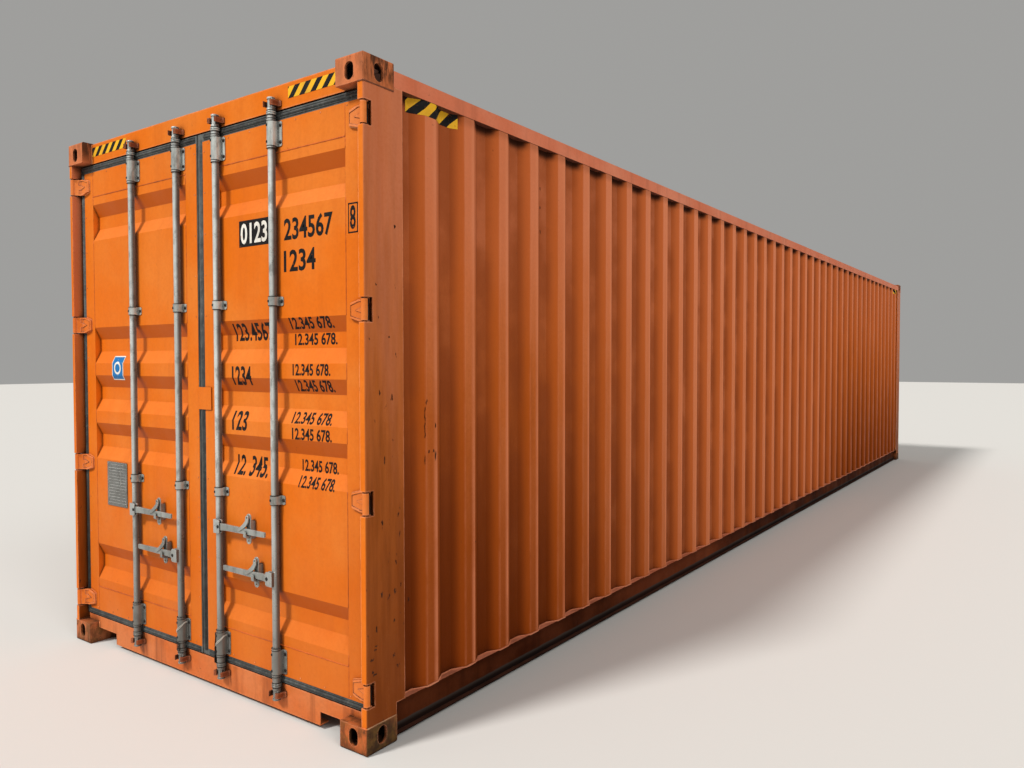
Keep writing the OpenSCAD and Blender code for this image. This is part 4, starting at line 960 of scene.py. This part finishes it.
def add_strands(tangle, y):
    """Four wires side by side that zigzag down beside the rod."""
    zigzag = ((0.026, 0.290), (0.035, 0.262), (0.029, 0.236), (0.040, 0.210), (0.031, 0.186),
              (0.044, 0.160), (0.032, 0.138))
    for k in range(4):
        spread = 0.0035 * (k - 1.5)
        add_tube(tangle, [(ROD_X + 0.005 - 0.005 * k, y + aside + spread * (-1) ** n, z + 0.004 * k)
                          for n, (aside, z) in enumerate(zigzag)], 0.0026, 7)


def add_coils(tangle, y):
    """Four slanting rings of wire in front of the rod."""
    for k in range(4):
        z = 0.187 - 0.011 * k
        add_tube(tangle, [(ROD_X - 0.0235 - 0.003 * math.sin(t), y + 0.011 * math.cos(t) - 0.004,
                           z + 0.008 * math.sin(t)) for t in turns(14)], 0.0017, 6, closed=True)


for i, add_tangle in ((1, add_coils), (2, add_strands)):
    add_seal_wire(i)
    tangle = bmesh.new()
    add_tangle(tangle, ROD_Y[i])
    piece(f"seal_wire_tangle_{i + 1}", tangle, "bolt", ROD_LEAF[i], True)

# Gasket lips: a thick rib and two thin ones on the front of each seal
LIP_X = DOOR_X + 0.058
LIP_Y, LIP_INNER_Y, LIP_MIDDLE_Y = SIDE_Y - 0.053, 0.04, -0.008
LIP_LOW, LIP_HIGH = DOOR_Z[0] - 0.018, DOOR_Z[1] + 0.022
for side, body in LEAVES:
    lips = bmesh.new()
    for radius, off in ((0.0075, 0.0), (0.004, 0.011), (0.004, -0.011)):
        outer_y, inner_y = side * (LIP_Y + off), side * LIP_INNER_Y
        low, high = LIP_LOW - off, LIP_HIGH + off
        add_tube(lips, [(LIP_X, outer_y, low), (LIP_X, outer_y, high)], radius, 10)
        add_tube(lips, [(LIP_X, inner_y, high), (LIP_X, outer_y, high)], radius, 10)
        add_tube(lips, [(LIP_X, inner_y, low), (LIP_X, outer_y, low)], radius, 10)
    if body == "right_door":
        for radius, off in ((0.0075, 0.0), (0.004, 0.010), (0.004, -0.010)):
            y = LIP_MIDDLE_Y + off
            add_tube(lips, [(LIP_X, y, LIP_LOW + 0.01), (LIP_X, y, LIP_HIGH - 0.01)], radius, 10)
    piece(f"seal_lips_{body}", lips, "lip", body, True)

# Weld beads along the frame: round the castings, up the posts, and between header, sill and castings
beads, bare, rusty, pale = bmesh.new(), bmesh.new(), bmesh.new(), bmesh.new()
for side in (-1, 1):
    y = side * (SIDE_Y - 0.002)
    for z in (CASTING_Z, HEIGHT - CASTING_Z):
        is_low = z < HEIGHT / 2
        bead = beads if is_low else rusty
        long_x = CASTING_X - 0.002
        if is_low and side < 0:
            weld(bare, (DOOR_X + 0.004, y, z), (DOOR_X + long_x, y, z), 0.0022)
        else:
            weld(bead, (DOOR_X + 0.004, y, z), (DOOR_X + long_x, y, z), 0.0038)
        weld(bead, (DOOR_X + 0.002, y, z), (DOOR_X + 0.002, side * (SIDE_Y - 0.034), z),
             0.003 if is_low else 0.0036)
        weld(bead, (FRONT_X - 0.004, y, z), (FRONT_X - long_x, y, z), 0.0032)
    y = side * (SIDE_Y - 0.007)
    for x in (DOOR_X + POST_X, FRONT_X - POST_X):
        weld(pale, (x, y, 0.17), (x, y, HEIGHT - 0.101), 0.0030)
    for z in (0.02, 0.168):
        weld(beads, (FACE_X + 0.001, side * (SIDE_Y - 0.1635), z),
             (FACE_X + 0.001, side * (SIDE_Y - 0.1625), z + 0.001), 0.003)
    y = side * (SIDE_Y - CASTING_Y - 0.001)
    for z0, z1 in ((2.780, 2.888), (0.084, 0.117)):
        weld(beads, (FACE_X, y, z0), (FACE_X, y, z1), 0.003)

# Weld along the foot of each side wall, with two points between every two folds
for side, tag in ((-1, "right"), (1, "left")):
    foot = bmesh.new()
    folds = sorted([-WALL_X + 0.01, WALL_X - 0.01] + wall_folds(-WALL_X, WALL_X))
    xs = []
    for x0, x1 in zip(folds, folds[1:]):
        xs += [x0, x0 * 0.67 + x1 * 0.33, x0 * 0.33 + x1 * 0.67]
    path = [(x, side * (WALL_Y + 0.001 - wall_depth(x)), 0.1705 + 0.0008 * rng.random())
            for x in xs + folds[-1:]]
    add_tube(foot, path, 0.0042, 6, wobble=0.4)
    piece(f"wall_foot_weld_{tag}", foot, "foot", "container", True)
piece("weld_beads", beads, "weld", "container", True)
piece("weld_bead_bare", bare, "weld_bare", "container", True)
piece("weld_beads_rusty", rusty, "weld_dark", "container", True)
piece("weld_beads_pale", pale, "weld_pale", "container", True)

# Scrapes and nicks on the right wall and post
nicks = bmesh.new()


def nick(x, z, w, h, y=None):
    """Six small diamonds strewn over w by h, on the right wall unless y names another face."""
    if y is None:
        y = wall_depth(x) - WALL_Y
    for _ in range(6):
        angle = rng.uniform(-0.5, 0.5) + (1.1 if w > h else 0.0)
        length = h * rng.uniform(0.4, 0.9) if w <= h else w * rng.uniform(0.4, 0.8)
        width = rng.uniform(0.0014, 0.0030)
        mid_x, mid_z = x + w * rng.uniform(-0.6, 0.6), z + h * rng.uniform(-0.4, 0.4)
        dx, dz = math.sin(angle) * length / 2, math.cos(angle) * length / 2
        wx, wz = dz / length * width, dx / length * width
        outline = ((mid_x - dx, mid_z - dz), (mid_x + 2 * wx, mid_z - 2 * wz),
                   (mid_x + dx, mid_z + dz), (mid_x - wx, mid_z + wz))
        face = nicks.faces.new([nicks.verts.new((px, y - PROUD, pz)) for px, pz in outline])
        face.normal_update()
        if face.normal.y > 0:
            face.normal_flip()


for k in range(9):
    nick(-5.722 + 0.0012 * math.sin(k * 1.7), 1.300 + 0.016 * k, 0.0045 - 0.0002 * k, 0.0165)
for place in ((-5.716, 1.452, 0.004, 0.014), (-5.711, 1.463, 0.004, 0.012), (-5.655, 1.345, 0.006, 0.022),
              (-5.700, 1.235, 0.007, 0.016), (-5.722, 1.195, 0.005, 0.040), (-5.655, 1.215, 0.007, 0.045),
              (-5.668, 1.236, 0.005, 0.012), (-4.739, 2.584, 0.006, 0.014), (-4.739, 2.481, 0.008, 0.016),
              (-4.738, 2.349, 0.007, 0.020), (-5.800, 0.583, 0.005, 0.016), (-5.352, 0.760, 0.004, 0.010)):
    nick(*place)
for place in ((-6.003, 0.658, 0.008, 0.020), (-5.925, 0.660, 0.010, 0.024), (-6.045, 0.437, 0.016, 0.010),
              (-6.040, 0.452, 0.010, 0.006), (-5.933, 0.381, 0.009, 0.016), (-6.063, 0.398, 0.018, 0.012),
              (-5.909, 0.331, 0.014, 0.016), (-6.050, 0.334, 0.022, 0.008), (-6.058, 0.346, 0.008, 0.012),
              (-6.036, 0.520, 0.004, 0.030), (-5.930, 0.530, 0.006, 0.012), (-6.010, 1.510, 0.006, 0.020),
              (-5.952, 1.742, 0.007, 0.012), (-6.028, 1.960, 0.008, 0.010), (-5.915, 2.210, 0.008, 0.018)):
    nick(*place, y=-(SIDE_Y - 0.002))
piece("nicks", nicks, "scrape", "container")

# Joints between the floor boards, lengthwise and staggered across, seen when the doors are open
BOARD_WIDE, BOARD_LONG = 0.39, 2.4
JOINT_HALF, JOINT_Z = 0.0015, (0.1695, 0.1703)
joints = bmesh.new()
for y in [BOARD_WIDE * k for k in (-2, -1, 0, 1, 2)]:
    add_box(joints, (DOOR_X + 0.16, y - JOINT_HALF, JOINT_Z[0]), (FRONT_X - 0.18, y + JOINT_HALF, JOINT_Z[1]))
for i in range(5):
    for k in range(6):
        x = -5.2 + BOARD_LONG * i + BOARD_LONG / 2 * (k % 2)
        y = -1.166 + BOARD_WIDE * k
        if x < 5.9:
            add_box(joints, (x - JOINT_HALF, max(y, -1.16), JOINT_Z[0]),
                    (x + JOINT_HALF, min(y + BOARD_WIDE, 1.16), JOINT_Z[1]))
piece("floor_joints", joints, "scrape", "container")

# Floor under the object, just below its resting face
STUDIO, STUDIO_Z = 60, -0.0005
corners = ((-1, -1), (1, -1), (1, 1), (-1, 1))
mesh = bpy.data.meshes.new("studio_floor")
mesh.from_pydata([(STUDIO * x, STUDIO * y, STUDIO_Z) for x, y in corners], [], [(0, 1, 2, 3)])
floor = bpy.data.objects.new("studio_floor", mesh)
bpy.context.collection.objects.link(floor)
ground = Graph("studio_floor")
ground.put(ground.bsdf.inputs["Base Color"], rgb(206, 204, 200))
ground.put(ground.bsdf.inputs["Roughness"], 0.85)
mesh.materials.append(ground.mat)

# Soft studio light: a pale sky, a key from behind the camera and a weak fill from the left
world = bpy.data.worlds.new("studio")
bpy.context.scene.world = world
world.use_nodes = True
sky = world.node_tree.nodes["Background"]
sky.inputs["Color"].default_value = rgb(232, 231, 228)
sky.inputs["Strength"].default_value = 0.43


def add_sun(name, direction, energy, angle, color):
    data = bpy.data.lights.new(name, "SUN")
    data.energy = energy
    data.angle = math.radians(angle)
    data.color = color
    sun = bpy.data.objects.new(name, data)
    sun.rotation_euler = Vector(direction).to_track_quat("-Z", "Y").to_euler()
    bpy.context.collection.objects.link(sun)


add_sun("key", (1.0, -0.36, -1.1), 3.05, 10, (1.0, 0.98, 0.95))
add_sun("fill", (0.45, 1.0, -0.9), 1.18, 30, (1.0, 0.98, 0.96))
